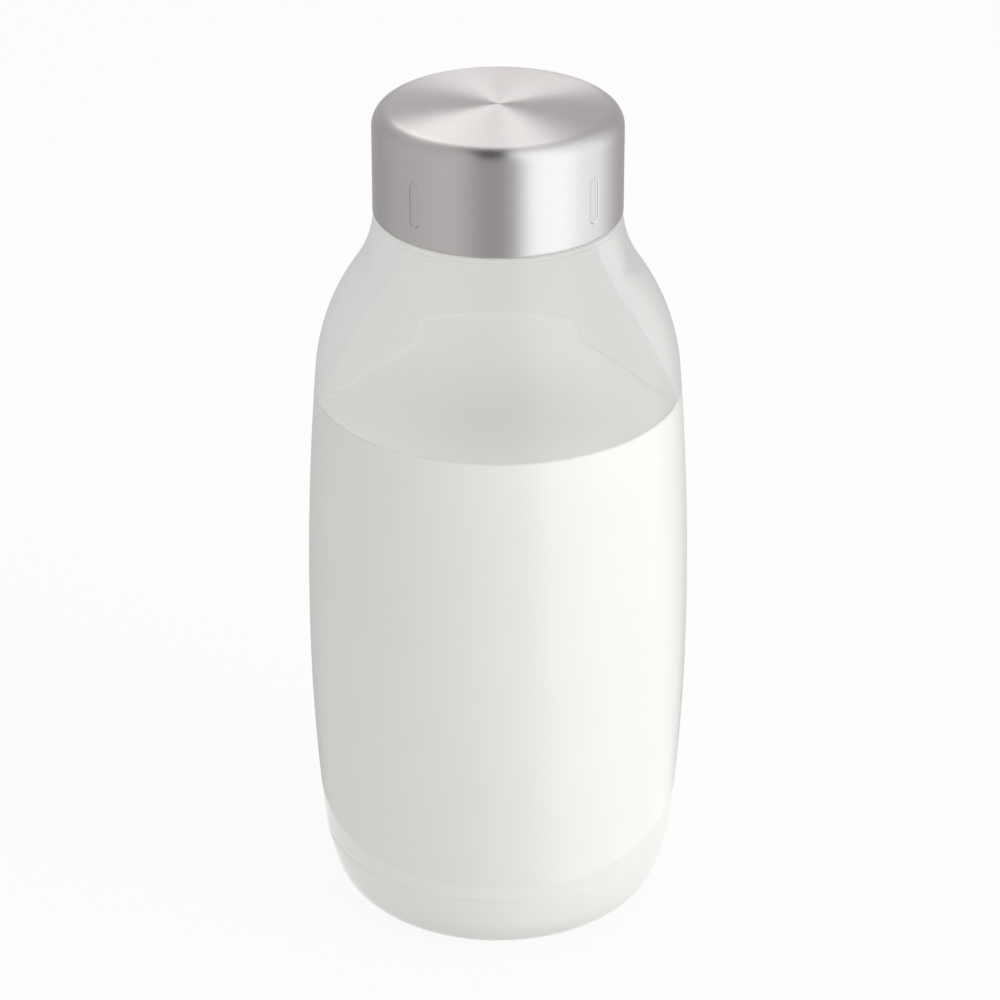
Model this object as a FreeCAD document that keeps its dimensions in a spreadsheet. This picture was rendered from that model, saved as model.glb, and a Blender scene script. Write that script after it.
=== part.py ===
"""Glass milk bottle filled with milk, closed by a steel screw cap with a threaded liner and a gasket.

The bottle stands on the XY plane with its axis on Z, and its front faces -Y. Lengths are in millimetres.
"""
import FreeCAD
import Part
import Sketcher
import math
import os

# Driving sizes: name, value, what it measures.
SIZES = [
    ("body_radius", 50.2, "outer radius at the widest point of the barrel"),
    ("widest_height", 83.5, "height of the widest point"),
    ("lower_barrel_curve", 620.0, "radius of the barrel's side below the widest point"),
    ("upper_barrel_curve", 850.0, "radius of the barrel's side above the widest point"),
    ("heel_height", 23.0, "height where the barrel turns into the heel"),
    ("heel_blend_curve", 57.0, "radius of the upper part of the heel"),
    ("heel_curve", 13.4, "radius of the lower part of the heel"),
    ("foot_width", 2.5, "width of the flat ring that the bottle stands on"),
    ("punt_height", 4.0, "rise of the hollow under the base"),
    ("shoulder_curve", 55.0, "radius of the convex shoulder"),
    ("flare_curve", 32.7, "radius of the concave flare between shoulder and collar"),
    ("flare_rise", 2.8, "height of the flare's centre above the ledge"),
    ("ledge_height", 196.8, "height of the ledge that the cap comes down to"),
    ("collar_height", 0.9, "height of the straight collar under the ledge"),
    ("collar_round", 0.5, "rounding of the ledge's outer edge"),
    ("collar_set_in", 0.3, "how far the flare's narrowest radius lies inside the cap's radius"),
    ("wall", 2.6, "thickness of the glass in barrel and heel"),
    ("floor_thickness", 4.0, "thickness of the glass over the middle of the base"),
    ("inner_shoulder_curve", 95.0, "radius inside the shoulder, where the glass thickens towards the neck"),
    ("throat_curve", 80.0, "radius inside the flare"),
    ("throat_rise", 17.3, "height of the throat's centre above the ledge"),
    ("finish_radius", 24.5, "outer radius of the neck between the threads"),
    ("finish_wall", 4.0, "thickness of the glass in the neck"),
    ("finish_height", 24.0, "height of the rim above the ledge"),
    ("finish_root", 1.2, "rounding between ledge and neck"),
    ("rim_round", 1.2, "rounding of the rim's two edges"),
    ("thread_starts", 4, "number of threads on the neck and in the liner"),
    ("thread_height", 1.3, "how far the glass thread stands out of the neck"),
    ("thread_drop", 6.0, "distance from the rim down to the thread's upper end"),
    ("thread_bite", 0.6, "how far a thread's section reaches into its wall"),
    ("thread_gap", 0.5, "clearance between a thread's crest and the facing wall"),
    ("flank_gap", 0.45, "clearance between facing thread flanks"),
    ("glass_thread_width", 2.2, "width of a thread on the neck"),
    ("glass_thread_turns", 0.28, "length of a thread on the neck, in turns"),
    ("liner_thread_width", 1.4, "width of a thread in the liner"),
    ("liner_thread_turns", 0.2, "length of a thread in the liner, in turns"),
    ("milk_level", 146.8, "height of the milk's surface"),
    ("milk_gap", 0.1, "gap between milk and glass"),
    ("sheet", 0.6, "thickness of the cap's steel sheet"),
    ("cap_round", 5.0, "outer rounding of the cap's top edge"),
    ("crown_rise", 0.6, "rise of the cap's slightly domed top"),
    ("hem_round", 1.2, "outer rounding of the curl at the cap's lower edge"),
    ("hem_lip", 0.6, "flat length of the curl under the liner"),
    ("skirt_gap", 0.15, "gap between the cap's lower edge and the ledge"),
    ("liner_wall", 5.0, "thickness of the liner's side"),
    ("liner_top", 2.2, "thickness of the liner's top"),
    ("liner_fit", 0.1, "gap between liner and shell"),
    ("gasket_thickness", 1.7, "thickness of the gasket"),
    ("gasket_reach", 1.0, "how far the gasket reaches inwards past the glass rim"),
    ("gasket_gap", 0.3, "gap between the gasket's outside and the liner"),
    ("slot_count", 4, "number of slots pressed into the cap's side"),
    ("slot_width", 2.7, "width of a slot"),
    ("slot_height", 12.1, "height of a slot from end to end"),
    ("slot_rise", 5.25, "height of a slot's lower end above the cap's lower edge"),
    ("slot_depth", 0.45, "depth of a slot"),
    ("slot_turn", 48.8, "angle in degrees from the front to the first slot"),
]

# Sizes that follow from the driving ones, so that pieces which meet share one value.
WORKED = [
    ("bore_radius", "Sizes.finish_radius - Sizes.finish_wall"),
    ("rim_height", "Sizes.ledge_height + Sizes.finish_height"),
    ("floor_height", "Sizes.punt_height + Sizes.floor_thickness"),
    ("heel_blend_centre",
     "Sizes.heel_height + Sizes.heel_blend_curve * (Sizes.widest_height - Sizes.heel_height)"
     " / Sizes.lower_barrel_curve"),
    ("thread_crest", "Sizes.finish_radius + Sizes.thread_height"),
    ("liner_bore", "Worked.thread_crest + Sizes.thread_gap"),
    ("liner_radius", "Worked.liner_bore + Sizes.liner_wall"),
    ("shell_bore", "Worked.liner_radius + Sizes.liner_fit"),
    ("cap_radius", "Worked.shell_bore + Sizes.sheet"),
    ("neck_radius", "Worked.cap_radius - Sizes.collar_set_in"),
    ("skirt_height", "Sizes.ledge_height + Sizes.skirt_gap"),
    ("liner_foot", "Worked.skirt_height + Sizes.sheet + Sizes.liner_fit"),
    ("gasket_ceiling", "Worked.rim_height + Sizes.gasket_thickness"),
    ("liner_ceiling", "Worked.gasket_ceiling + Sizes.liner_top"),
    ("cap_ceiling", "Worked.liner_ceiling + Sizes.liner_fit + Sizes.sheet + Sizes.crown_rise"),
    ("cap_edge_centre", "Worked.cap_ceiling - Sizes.crown_rise - Sizes.cap_round"),
    ("thread_pitch", "Sizes.glass_thread_width + Sizes.liner_thread_width + 2 * Sizes.flank_gap"),
    ("thread_lead", "Worked.thread_pitch * Sizes.thread_starts"),
    ("thread_end", "Worked.rim_height - Sizes.thread_drop"),
    ("thread_start", "Worked.thread_end - Worked.thread_lead * Sizes.glass_thread_turns"),
    ("liner_thread_start",
     "Worked.thread_start + Worked.thread_lead * Sizes.slot_turn / 360 - Worked.thread_pitch / 2"),
    ("slot_low_centre", "Worked.skirt_height + Sizes.slot_rise + Sizes.slot_width / 2"),
    ("slot_high_centre", "Worked.skirt_height + Sizes.slot_rise + Sizes.slot_height - Sizes.slot_width / 2"),
    ("slot_floor", "Worked.cap_radius - Sizes.slot_depth"),
    ("boss_face", "Worked.slot_floor - Sizes.sheet"),
    ("boss_half_width", "Sizes.slot_width / 2 + Sizes.sheet"),
]

FULL_TURN = 360.0


def make_sheet(doc):
    """Write the driving sizes into the sheet, each under its own alias."""
    sheet = doc.addObject("Spreadsheet::Sheet", "Sizes")
    for row, (name, value, meaning) in enumerate(SIZES, start=1):
        sheet.set(f"A{row}", name)
        sheet.set(f"B{row}", str(value))
        sheet.setAlias(f"B{row}", name)
        sheet.set(f"C{row}", meaning)
    doc.recompute()
    return sheet


def make_worked(doc):
    """Hold the sizes that follow from the sheet."""
    worked = doc.addObject("App::VarSet", "Worked")
    for name, rule in WORKED:
        worked.addProperty("App::PropertyFloat", name)
        worked.setExpression(name, rule)
    doc.recompute()
    return worked


def origin_plane(body, role):
    """The body's own origin plane of that role."""
    return next(feature for feature in body.Origin.OriginFeatures if feature.Role == role)


def along(start, through, reach):
    """The point at that reach from start, in the direction of through."""
    share = reach / math.dist(start, through)
    return (start[0] + share * (through[0] - start[0]), start[1] + share * (through[1] - start[1]))


def lower_meeting(centre_a, reach_a, centre_b, reach_b):
    """The lower of the two points at those reaches from the two centres."""
    span = math.dist(centre_a, centre_b)
    forward = (reach_a ** 2 - reach_b ** 2 + span ** 2) / (2 * span)
    sideways = math.sqrt(reach_a ** 2 - forward ** 2)
    ahead = ((centre_b[0] - centre_a[0]) / span, (centre_b[1] - centre_a[1]) / span)
    foot = (centre_a[0] + ahead[0] * forward, centre_a[1] + ahead[1] * forward)
    left = (foot[0] - ahead[1] * sideways, foot[1] + ahead[0] * sideways)
    right = (foot[0] + ahead[1] * sideways, foot[1] - ahead[0] * sideways)
    return min(left, right, key=lambda point: point[1])


def heel_points(sizes):
    """Centre of the barrel's lower side, top of the heel, and the centres of the heel's two curves."""
    lower_centre = (sizes.body_radius - sizes.lower_barrel_curve, sizes.widest_height)
    drop = sizes.widest_height - sizes.heel_height
    heel_top = (lower_centre[0] + math.sqrt(sizes.lower_barrel_curve ** 2 - drop ** 2), sizes.heel_height)
    blend_centre = along(heel_top, lower_centre, sizes.heel_blend_curve)
    reach = sizes.heel_blend_curve - sizes.heel_curve
    sideways = math.sqrt(reach ** 2 - (blend_centre[1] - sizes.heel_curve) ** 2)
    return lower_centre, heel_top, blend_centre, (blend_centre[0] + sideways, sizes.heel_curve)


class Outline:
    """A closed outline in one upright sketch: its stretches in order, then the ties and sizes that hold it."""

    def __init__(self, body, name):
        self.sketch = body.newObject("Sketcher::SketchObject", name)
        self.sketch.AttachmentSupport = (origin_plane(body, "XZ_Plane"), [""])
        self.sketch.MapMode = "FlatFace"
        self.ends = []

    def line(self, start, finish):
        segment = Part.LineSegment(FreeCAD.Vector(*start, 0), FreeCAD.Vector(*finish, 0))
        self.ends.append({"start": 1, "finish": 2})
        return self.sketch.addGeometry(segment, False)

    def arc(self, centre, start, finish, convex=True):
        """An arc that runs anticlockwise where it is convex, and clockwise where it is hollow."""
        first, last = (start, finish) if convex else (finish, start)
        first_angle = math.atan2(first[1] - centre[1], first[0] - centre[0])
        last_angle = math.atan2(last[1] - centre[1], last[0] - centre[0])
        if last_angle <= first_angle:
            last_angle += 2 * math.pi
        circle = Part.Circle(FreeCAD.Vector(*centre, 0), FreeCAD.Vector(0, 0, 1), math.dist(centre, start))
        order = (1, 2) if convex else (2, 1)
        self.ends.append({"start": order[0], "finish": order[1], "centre": 3})
        return self.sketch.addGeometry(Part.ArcOfCircle(circle, first_angle, last_angle), False)

    def close(self, corners):
        """Tie each stretch to the next, smoothly except at the finish of the stretches in corners."""
        count = len(self.ends)
        for index in range(count):
            following = (index + 1) % count
            kind = "Coincident" if index in corners else "Tangent"
            self.hold(kind, index, self.ends[index]["finish"], following, self.ends[following]["start"])

    def hold(self, kind, *where):
        return self.sketch.addConstraint(Sketcher.Constraint(kind, *where))

    def flat(self, *lines):
        for index in lines:
            self.hold("Horizontal", index)

    def upright(self, *lines):
        for index in lines:
            self.hold("Vertical", index)

    def on_axis(self, index, *ends):
        for end in ends:
            self.hold("PointOnObject", index, self.ends[index][end], -2)

    def bind(self, constraint, rule):
        self.sketch.setExpression(f"Constraints[{constraint}]", rule)

    def radius(self, index, rule):
        self.bind(self.hold("Radius", index, self.sketch.Geometry[index].Radius), rule)

    def across(self, index, end, rule):
        """Set how far a point lies from the axis."""
        place = self.ends[index][end]
        self.bind(self.hold("DistanceX", -1, 1, index, place, self.sketch.getPoint(index, place).x), rule)

    def height(self, index, end, rule):
        """Set how high a point lies."""
        place = self.ends[index][end]
        self.bind(self.hold("DistanceY", -1, 1, index, place, self.sketch.getPoint(index, place).y), rule)


def revolve(body, kind, name, outline):
    """Turn an outline round the bottle's axis, as a solid or as a cut."""
    feature = body.newObject(kind, name)
    feature.Profile = outline.sketch
    feature.ReferenceAxis = (outline.sketch, ["V_Axis"])
    feature.Angle = FULL_TURN
    return feature


def repeat_round(body, name, features, count_rule):
    """Repeat features evenly round the axis."""
    pattern = body.newObject("PartDesign::PolarPattern", name)
    pattern.Originals = features
    pattern.Axis = (origin_plane(body, "Z_Axis"), [""])
    pattern.Angle = FULL_TURN
    pattern.setExpression("Occurrences", count_rule)
    body.Tip = pattern
    return pattern


def outer_outline(body, sizes, worked):
    """Half of the bottle's outside, filled to the axis."""
    rim, ledge = worked.rim_height, sizes.ledge_height
    widest = (sizes.body_radius, sizes.widest_height)
    upper_centre = (widest[0] - sizes.upper_barrel_curve, widest[1])

    lower_centre, heel_top, blend_centre, heel_centre = heel_points(sizes)
    heel_middle = along(blend_centre, heel_centre, sizes.heel_blend_curve)

    foot_outside = (heel_centre[0], 0)
    foot_inside = (foot_outside[0] - sizes.foot_width, 0)
    punt_curve = (foot_inside[0] ** 2 + sizes.punt_height ** 2) / (2 * sizes.punt_height)
    punt_centre = (0, sizes.punt_height - punt_curve)
    punt_top = (0, sizes.punt_height)

    flare_centre = (worked.neck_radius + sizes.flare_curve, ledge + sizes.flare_rise)
    shoulder_centre = lower_meeting(
        upper_centre, sizes.upper_barrel_curve - sizes.shoulder_curve,
        flare_centre, sizes.flare_curve + sizes.shoulder_curve)
    shoulder_start = along(upper_centre, shoulder_centre, sizes.upper_barrel_curve)
    flare_start = along(shoulder_centre, flare_centre, sizes.shoulder_curve)

    collar_foot = ledge - sizes.collar_height
    flare_rise = flare_centre[1] - collar_foot
    collar_radius = flare_centre[0] - math.sqrt(sizes.flare_curve ** 2 - flare_rise ** 2)
    collar_low = (collar_radius, collar_foot)
    collar_high = (collar_radius, ledge - sizes.collar_round)
    ledge_outside = (collar_radius - sizes.collar_round, ledge)
    ledge_inside = (sizes.finish_radius + sizes.finish_root, ledge)
    root_top = (sizes.finish_radius, ledge + sizes.finish_root)
    rim_low = (sizes.finish_radius, rim - sizes.rim_round)
    rim_outside = (sizes.finish_radius - sizes.rim_round, rim)

    outline = Outline(body, "bottle_outside")
    punt = outline.arc(punt_centre, punt_top, foot_inside, convex=False)
    foot = outline.line(foot_inside, foot_outside)
    heel = outline.arc(heel_centre, foot_outside, heel_middle)
    blend = outline.arc(blend_centre, heel_middle, heel_top)
    lower_barrel = outline.arc(lower_centre, heel_top, widest)
    upper_barrel = outline.arc(upper_centre, widest, shoulder_start)
    shoulder = outline.arc(shoulder_centre, shoulder_start, flare_start)
    flare = outline.arc(flare_centre, flare_start, collar_low, convex=False)
    collar = outline.line(collar_low, collar_high)
    collar_edge = outline.arc((ledge_outside[0], collar_high[1]), collar_high, ledge_outside)
    ledge_line = outline.line(ledge_outside, ledge_inside)
    root = outline.arc((ledge_inside[0], root_top[1]), ledge_inside, root_top, convex=False)
    neck = outline.line(root_top, rim_low)
    rim_edge = outline.arc((rim_outside[0], rim_low[1]), rim_low, rim_outside)
    rim_line = outline.line(rim_outside, (0, rim))
    axis = outline.line((0, rim), punt_top)

    outline.close(corners={punt, flare, rim_line, axis})
    outline.flat(foot, ledge_line, rim_line)
    outline.upright(collar, neck)
    outline.on_axis(axis, "start", "finish")
    outline.on_axis(punt, "centre")
    outline.hold("Horizontal", lower_barrel, 3, lower_barrel, outline.ends[lower_barrel]["finish"])
    outline.hold("PointOnObject", foot, outline.ends[foot]["start"], -1)

    foot_width = outline.hold("DistanceX", foot, 1, foot, 2, sizes.foot_width)
    outline.bind(foot_width, "Sizes.foot_width")
    outline.height(punt, "start", "Sizes.punt_height")
    outline.radius(heel, "Sizes.heel_curve")
    outline.radius(blend, "Sizes.heel_blend_curve")
    outline.height(blend, "finish", "Sizes.heel_height")
    outline.radius(lower_barrel, "Sizes.lower_barrel_curve")
    outline.across(lower_barrel, "finish", "Sizes.body_radius")
    outline.height(lower_barrel, "finish", "Sizes.widest_height")
    outline.radius(upper_barrel, "Sizes.upper_barrel_curve")
    outline.radius(shoulder, "Sizes.shoulder_curve")
    outline.radius(flare, "Sizes.flare_curve")
    outline.across(flare, "centre", "Worked.neck_radius + Sizes.flare_curve")
    outline.height(flare, "centre", "Sizes.ledge_height + Sizes.flare_rise")
    outline.height(flare, "finish", "Sizes.ledge_height - Sizes.collar_height")
    outline.radius(collar_edge, "Sizes.collar_round")
    outline.height(ledge_line, "start", "Sizes.ledge_height")
    outline.radius(root, "Sizes.finish_root")
    outline.across(neck, "start", "Sizes.finish_radius")
    outline.radius(rim_edge, "Sizes.rim_round")
    outline.height(rim_line, "start", "Worked.rim_height")
    return outline


def cavity_outline(body, name, sizes, worked, inset=0.0, inset_rule="0"):
    """Half of the space inside the bottle, open past the rim, drawn in from the glass by the inset."""
    depth = sizes.wall + inset
    widest = (sizes.body_radius - depth, sizes.widest_height)
    upper_centre = (sizes.body_radius - sizes.upper_barrel_curve, widest[1])
    upper_curve = sizes.upper_barrel_curve - depth

    lower_centre, outer_heel_top, blend_centre, heel_centre = heel_points(sizes)
    heel_top = along(outer_heel_top, lower_centre, depth)
    heel_middle = along(blend_centre, heel_centre, sizes.heel_blend_curve - depth)
    heel_low = (heel_centre[0], depth)
    floor = (0, worked.floor_height + inset)
    floor_rise = floor[1] - heel_low[1]
    floor_curve = (heel_low[0] ** 2 + floor_rise ** 2) / (2 * floor_rise)
    floor_centre = (0, floor[1] - floor_curve)

    bore = worked.bore_radius - inset
    shoulder_curve = sizes.inner_shoulder_curve - inset
    throat_curve = sizes.throat_curve + inset
    throat_centre = (bore + throat_curve, sizes.ledge_height + sizes.throat_rise)
    shoulder_centre = lower_meeting(
        upper_centre, upper_curve - shoulder_curve, throat_centre, throat_curve + shoulder_curve)
    shoulder_start = along(upper_centre, shoulder_centre, upper_curve)
    throat_start = along(shoulder_centre, throat_centre, shoulder_curve)
    throat_end = (bore, throat_centre[1])

    rim_low = (bore, worked.rim_height - sizes.rim_round)
    rim_inside = (bore + sizes.rim_round, worked.rim_height)
    mouth = worked.rim_height + sizes.rim_round

    outline = Outline(body, name)
    dome = outline.arc(floor_centre, floor, heel_low, convex=False)
    heel = outline.arc(heel_centre, heel_low, heel_middle)
    blend = outline.arc(blend_centre, heel_middle, heel_top)
    lower_barrel = outline.arc(lower_centre, heel_top, widest)
    upper_barrel = outline.arc(upper_centre, widest, shoulder_start)
    shoulder = outline.arc(shoulder_centre, shoulder_start, throat_start)
    throat = outline.arc(throat_centre, throat_start, throat_end, convex=False)
    bore_line = outline.line(throat_end, rim_low)
    rim_edge = outline.arc((rim_inside[0], rim_low[1]), rim_low, rim_inside, convex=False)
    mouth_side = outline.line(rim_inside, (rim_inside[0], mouth))
    mouth_line = outline.line((rim_inside[0], mouth), (0, mouth))
    axis = outline.line((0, mouth), floor)

    outline.close(corners={dome, rim_edge, mouth_side, mouth_line, axis})
    outline.flat(mouth_line)
    outline.upright(bore_line, mouth_side)
    outline.on_axis(axis, "start", "finish")
    outline.on_axis(dome, "centre")
    outline.hold("Vertical", heel, 3, heel, outline.ends[heel]["start"])
    outline.hold("Horizontal", lower_barrel, 3, lower_barrel, outline.ends[lower_barrel]["finish"])
    outline.hold("Vertical", rim_edge, 3, rim_edge, outline.ends[rim_edge]["finish"])

    outline.height(dome, "start", f"Worked.floor_height + {inset_rule}")
    outline.radius(heel, f"Sizes.heel_curve - Sizes.wall - {inset_rule}")
    outline.height(heel, "centre", "Sizes.heel_curve")
    outline.radius(blend, f"Sizes.heel_blend_curve - Sizes.wall - {inset_rule}")
    outline.height(blend, "centre", "Worked.heel_blend_centre")
    outline.radius(lower_barrel, f"Sizes.lower_barrel_curve - Sizes.wall - {inset_rule}")
    outline.across(lower_barrel, "finish", f"Sizes.body_radius - Sizes.wall - {inset_rule}")
    outline.height(lower_barrel, "finish", "Sizes.widest_height")
    outline.radius(upper_barrel, f"Sizes.upper_barrel_curve - Sizes.wall - {inset_rule}")
    outline.radius(shoulder, f"Sizes.inner_shoulder_curve - {inset_rule}")
    outline.radius(throat, f"Sizes.throat_curve + {inset_rule}")
    outline.height(throat, "centre", "Sizes.ledge_height + Sizes.throat_rise")
    outline.across(bore_line, "start", f"Worked.bore_radius - {inset_rule}")
    outline.radius(rim_edge, "Sizes.rim_round")
    outline.height(rim_edge, "finish", "Worked.rim_height")
    outline.height(mouth_line, "start", "Worked.rim_height + Sizes.rim_round")
    return outline


def thread_outline(body, name, width, root, centre, rules):
    """Section of a thread: a half round crest on a straight root, with its rules in the same order."""
    half = width / 2
    low, high = centre[1] - half, centre[1] + half
    outward = centre[0] > root
    first, last = (low, high) if outward else (high, low)

    outline = Outline(body, name)
    near = outline.line((root, first), (centre[0], first))
    crest = outline.arc(centre, (centre[0], first), (centre[0], last))
    far = outline.line((centre[0], last), (root, last))
    base = outline.line((root, last), (root, first))

    outline.close(corners={far, base})
    outline.flat(near, far)
    outline.upright(base)
    outline.radius(crest, rules["half_width"])
    outline.across(base, "start", rules["root"])
    outline.across(crest, "centre", rules["centre"])
    outline.height(crest, "centre", rules["height"])
    return outline


def wind(body, name, outline, turns_rule):
    """Sweep a thread's section up the axis as a right-hand thread."""
    thread = body.newObject("PartDesign::AdditiveHelix", name)
    thread.Profile = outline.sketch
    thread.ReferenceAxis = (outline.sketch, ["V_Axis"])
    thread.Mode = "pitch-turns-angle"
    thread.LeftHanded = False
    thread.setExpression("Pitch", "Worked.thread_lead")
    thread.setExpression("Turns", turns_rule)
    return thread


def slot_outline(body, name, half_width, low, high, rules):
    """An upright slot with round ends, drawn on a plane that faces the front."""
    outline = Outline(body, name)
    right = outline.line((half_width, low), (half_width, high))
    top = outline.arc((0, high), (half_width, high), (-half_width, high))
    left = outline.line((-half_width, high), (-half_width, low))
    bottom = outline.arc((0, low), (-half_width, low), (half_width, low))

    outline.close(corners=set())
    outline.upright(right)
    outline.hold("Equal", top, bottom)
    outline.on_axis(bottom, "centre")
    outline.radius(top, rules["half_width"])
    outline.height(bottom, "centre", rules["low"])
    outline.height(top, "centre", rules["high"])
    outline.sketch.setExpression("AttachmentOffset.Base.z", rules["plane"])
    return outline


def make_bottle(doc, sizes, worked):
    """The glass: a solid of revolution, hollowed, with its threads wound on the neck."""
    body = doc.addObject("PartDesign::Body", "glass_bottle")
    revolve(body, "PartDesign::Revolution", "blank", outer_outline(body, sizes, worked))
    revolve(body, "PartDesign::Groove", "hollow", cavity_outline(body, "bottle_inside", sizes, worked))

    half = sizes.glass_thread_width / 2
    section = thread_outline(
        body, "neck_thread_section", sizes.glass_thread_width, sizes.finish_radius - sizes.thread_bite,
        (worked.thread_crest - half, worked.thread_start),
        {"half_width": "Sizes.glass_thread_width / 2",
         "root": "Sizes.finish_radius - Sizes.thread_bite",
         "centre": "Worked.thread_crest - Sizes.glass_thread_width / 2",
         "height": "Worked.thread_start"})
    thread = wind(body, "neck_thread", section, "Sizes.glass_thread_turns")
    repeat_round(body, "neck_threads", [thread], "Sizes.thread_starts")
    return body


def make_milk(doc, sizes, worked):
    """The milk: the bottle's inside, cut off level at the surface."""
    body = doc.addObject("PartDesign::Body", "milk")
    inside = cavity_outline(body, "milk_outline", sizes, worked, sizes.milk_gap, "Sizes.milk_gap")
    revolve(body, "PartDesign::Revolution", "fill", inside)

    surface = body.newObject("Sketcher::SketchObject", "milk_surface")
    surface.AttachmentSupport = (origin_plane(body, "XY_Plane"), [""])
    surface.MapMode = "FlatFace"
    surface.setExpression("AttachmentOffset.Base.z", "Sizes.milk_level")
    disc = Part.Circle(FreeCAD.Vector(), FreeCAD.Vector(0, 0, 1), sizes.body_radius)
    ring = surface.addGeometry(disc, False)
    surface.addConstraint(Sketcher.Constraint("Coincident", ring, 3, -1, 1))
    reach = surface.addConstraint(Sketcher.Constraint("Radius", ring, sizes.body_radius))
    surface.setExpression(f"Constraints[{reach}]", "Sizes.body_radius")

    level = body.newObject("PartDesign::Pocket", "level")
    level.Profile = surface
    level.Type = "ThroughAll"
    level.Reversed = True
    return body


def shell_outline(body, sizes, worked):
    """Half of the cap's steel sheet: domed top, rounded edge, side and inward curl."""
    radius, bore = worked.cap_radius, worked.shell_bore
    top, skirt = worked.cap_ceiling, worked.skirt_height
    edge_centre = (radius - sizes.cap_round, worked.cap_edge_centre)
    edge_reach = top - edge_centre[1]
    crown_curve = (edge_centre[0] ** 2 + edge_reach ** 2 - sizes.cap_round ** 2) / (2 * sizes.crown_rise)
    crown_centre = (0, top - crown_curve)
    crown_edge = along(crown_centre, edge_centre, crown_curve)
    inner_crown_edge = along(crown_centre, edge_centre, crown_curve - sizes.sheet)
    hem_centre = (radius - sizes.hem_round, skirt + sizes.hem_round)
    lip = hem_centre[0] - sizes.hem_lip
    inner_skirt = skirt + sizes.sheet
    inner_top = top - sizes.sheet

    outline = Outline(body, "shell_section")
    lip_line = outline.line((lip, skirt), (hem_centre[0], skirt))
    hem = outline.arc(hem_centre, (hem_centre[0], skirt), (radius, hem_centre[1]))
    side = outline.line((radius, hem_centre[1]), (radius, edge_centre[1]))
    edge = outline.arc(edge_centre, (radius, edge_centre[1]), crown_edge)
    crown = outline.arc(crown_centre, crown_edge, (0, top))
    axis = outline.line((0, top), (0, inner_top))
    inner_crown = outline.arc(crown_centre, (0, inner_top), inner_crown_edge, convex=False)
    inner_edge = outline.arc(edge_centre, inner_crown_edge, (bore, edge_centre[1]), convex=False)
    inner_side = outline.line((bore, edge_centre[1]), (bore, hem_centre[1]))
    inner_hem = outline.arc(hem_centre, (bore, hem_centre[1]), (hem_centre[0], inner_skirt), convex=False)
    inner_lip_line = outline.line((hem_centre[0], inner_skirt), (lip, inner_skirt))
    lip_end = outline.line((lip, inner_skirt), (lip, skirt))

    outline.close(corners={crown, axis, inner_lip_line, lip_end})
    outline.flat(lip_line, inner_lip_line)
    outline.upright(side, inner_side, lip_end)
    outline.on_axis(axis, "start", "finish")
    outline.on_axis(crown, "centre")
    outline.hold("Coincident", hem, 3, inner_hem, 3)
    outline.hold("Coincident", edge, 3, inner_edge, 3)
    outline.hold("Coincident", crown, 3, inner_crown, 3)
    outline.radius(hem, "Sizes.hem_round")
    outline.radius(edge, "Sizes.cap_round")
    outline.across(side, "start", "Worked.cap_radius")
    outline.across(inner_side, "start", "Worked.shell_bore")
    outline.across(lip_end, "start", "Worked.cap_radius - Sizes.hem_round - Sizes.hem_lip")
    outline.height(lip_line, "start", "Worked.skirt_height")
    outline.height(edge, "centre", "Worked.cap_edge_centre")
    outline.height(crown, "finish", "Worked.cap_ceiling")
    return outline


def turn_to_slots(body):
    """Turn a piece of the cap so that its slots or keyways stand where the cap's slots are."""
    body.Placement = FreeCAD.Placement(FreeCAD.Vector(), FreeCAD.Rotation(FreeCAD.Vector(0, 0, 1), 0))
    body.setExpression("Placement.Rotation.Angle", "Sizes.slot_turn")


def make_shell(doc, sizes, worked):
    """The steel shell: drawn sheet with slots pressed inwards, each one hollow outside and a boss inside."""
    body = doc.addObject("PartDesign::Body", "cap_shell")
    revolve(body, "PartDesign::Revolution", "drawn_cup", shell_outline(body, sizes, worked))

    heights = {"low": "Worked.slot_low_centre", "high": "Worked.slot_high_centre"}
    boss_shape = slot_outline(
        body, "boss_outline", worked.boss_half_width, worked.slot_low_centre, worked.slot_high_centre,
        {"half_width": "Worked.boss_half_width", "plane": "Worked.boss_face", **heights})
    boss = body.newObject("PartDesign::Pad", "boss")
    boss.Profile = boss_shape.sketch
    boss.setExpression("Length", "Sizes.slot_depth + Sizes.sheet / 2")

    slot_shape = slot_outline(
        body, "slot_outline", sizes.slot_width / 2, worked.slot_low_centre, worked.slot_high_centre,
        {"half_width": "Sizes.slot_width / 2", "plane": "Worked.slot_floor", **heights})
    slot = body.newObject("PartDesign::Pocket", "slot")
    slot.Profile = slot_shape.sketch
    slot.Reversed = True
    slot.setExpression("Length", "Sizes.slot_depth + Sizes.sheet")

    repeat_round(body, "slots", [boss, slot], "Sizes.slot_count")
    turn_to_slots(body)
    return body


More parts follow.
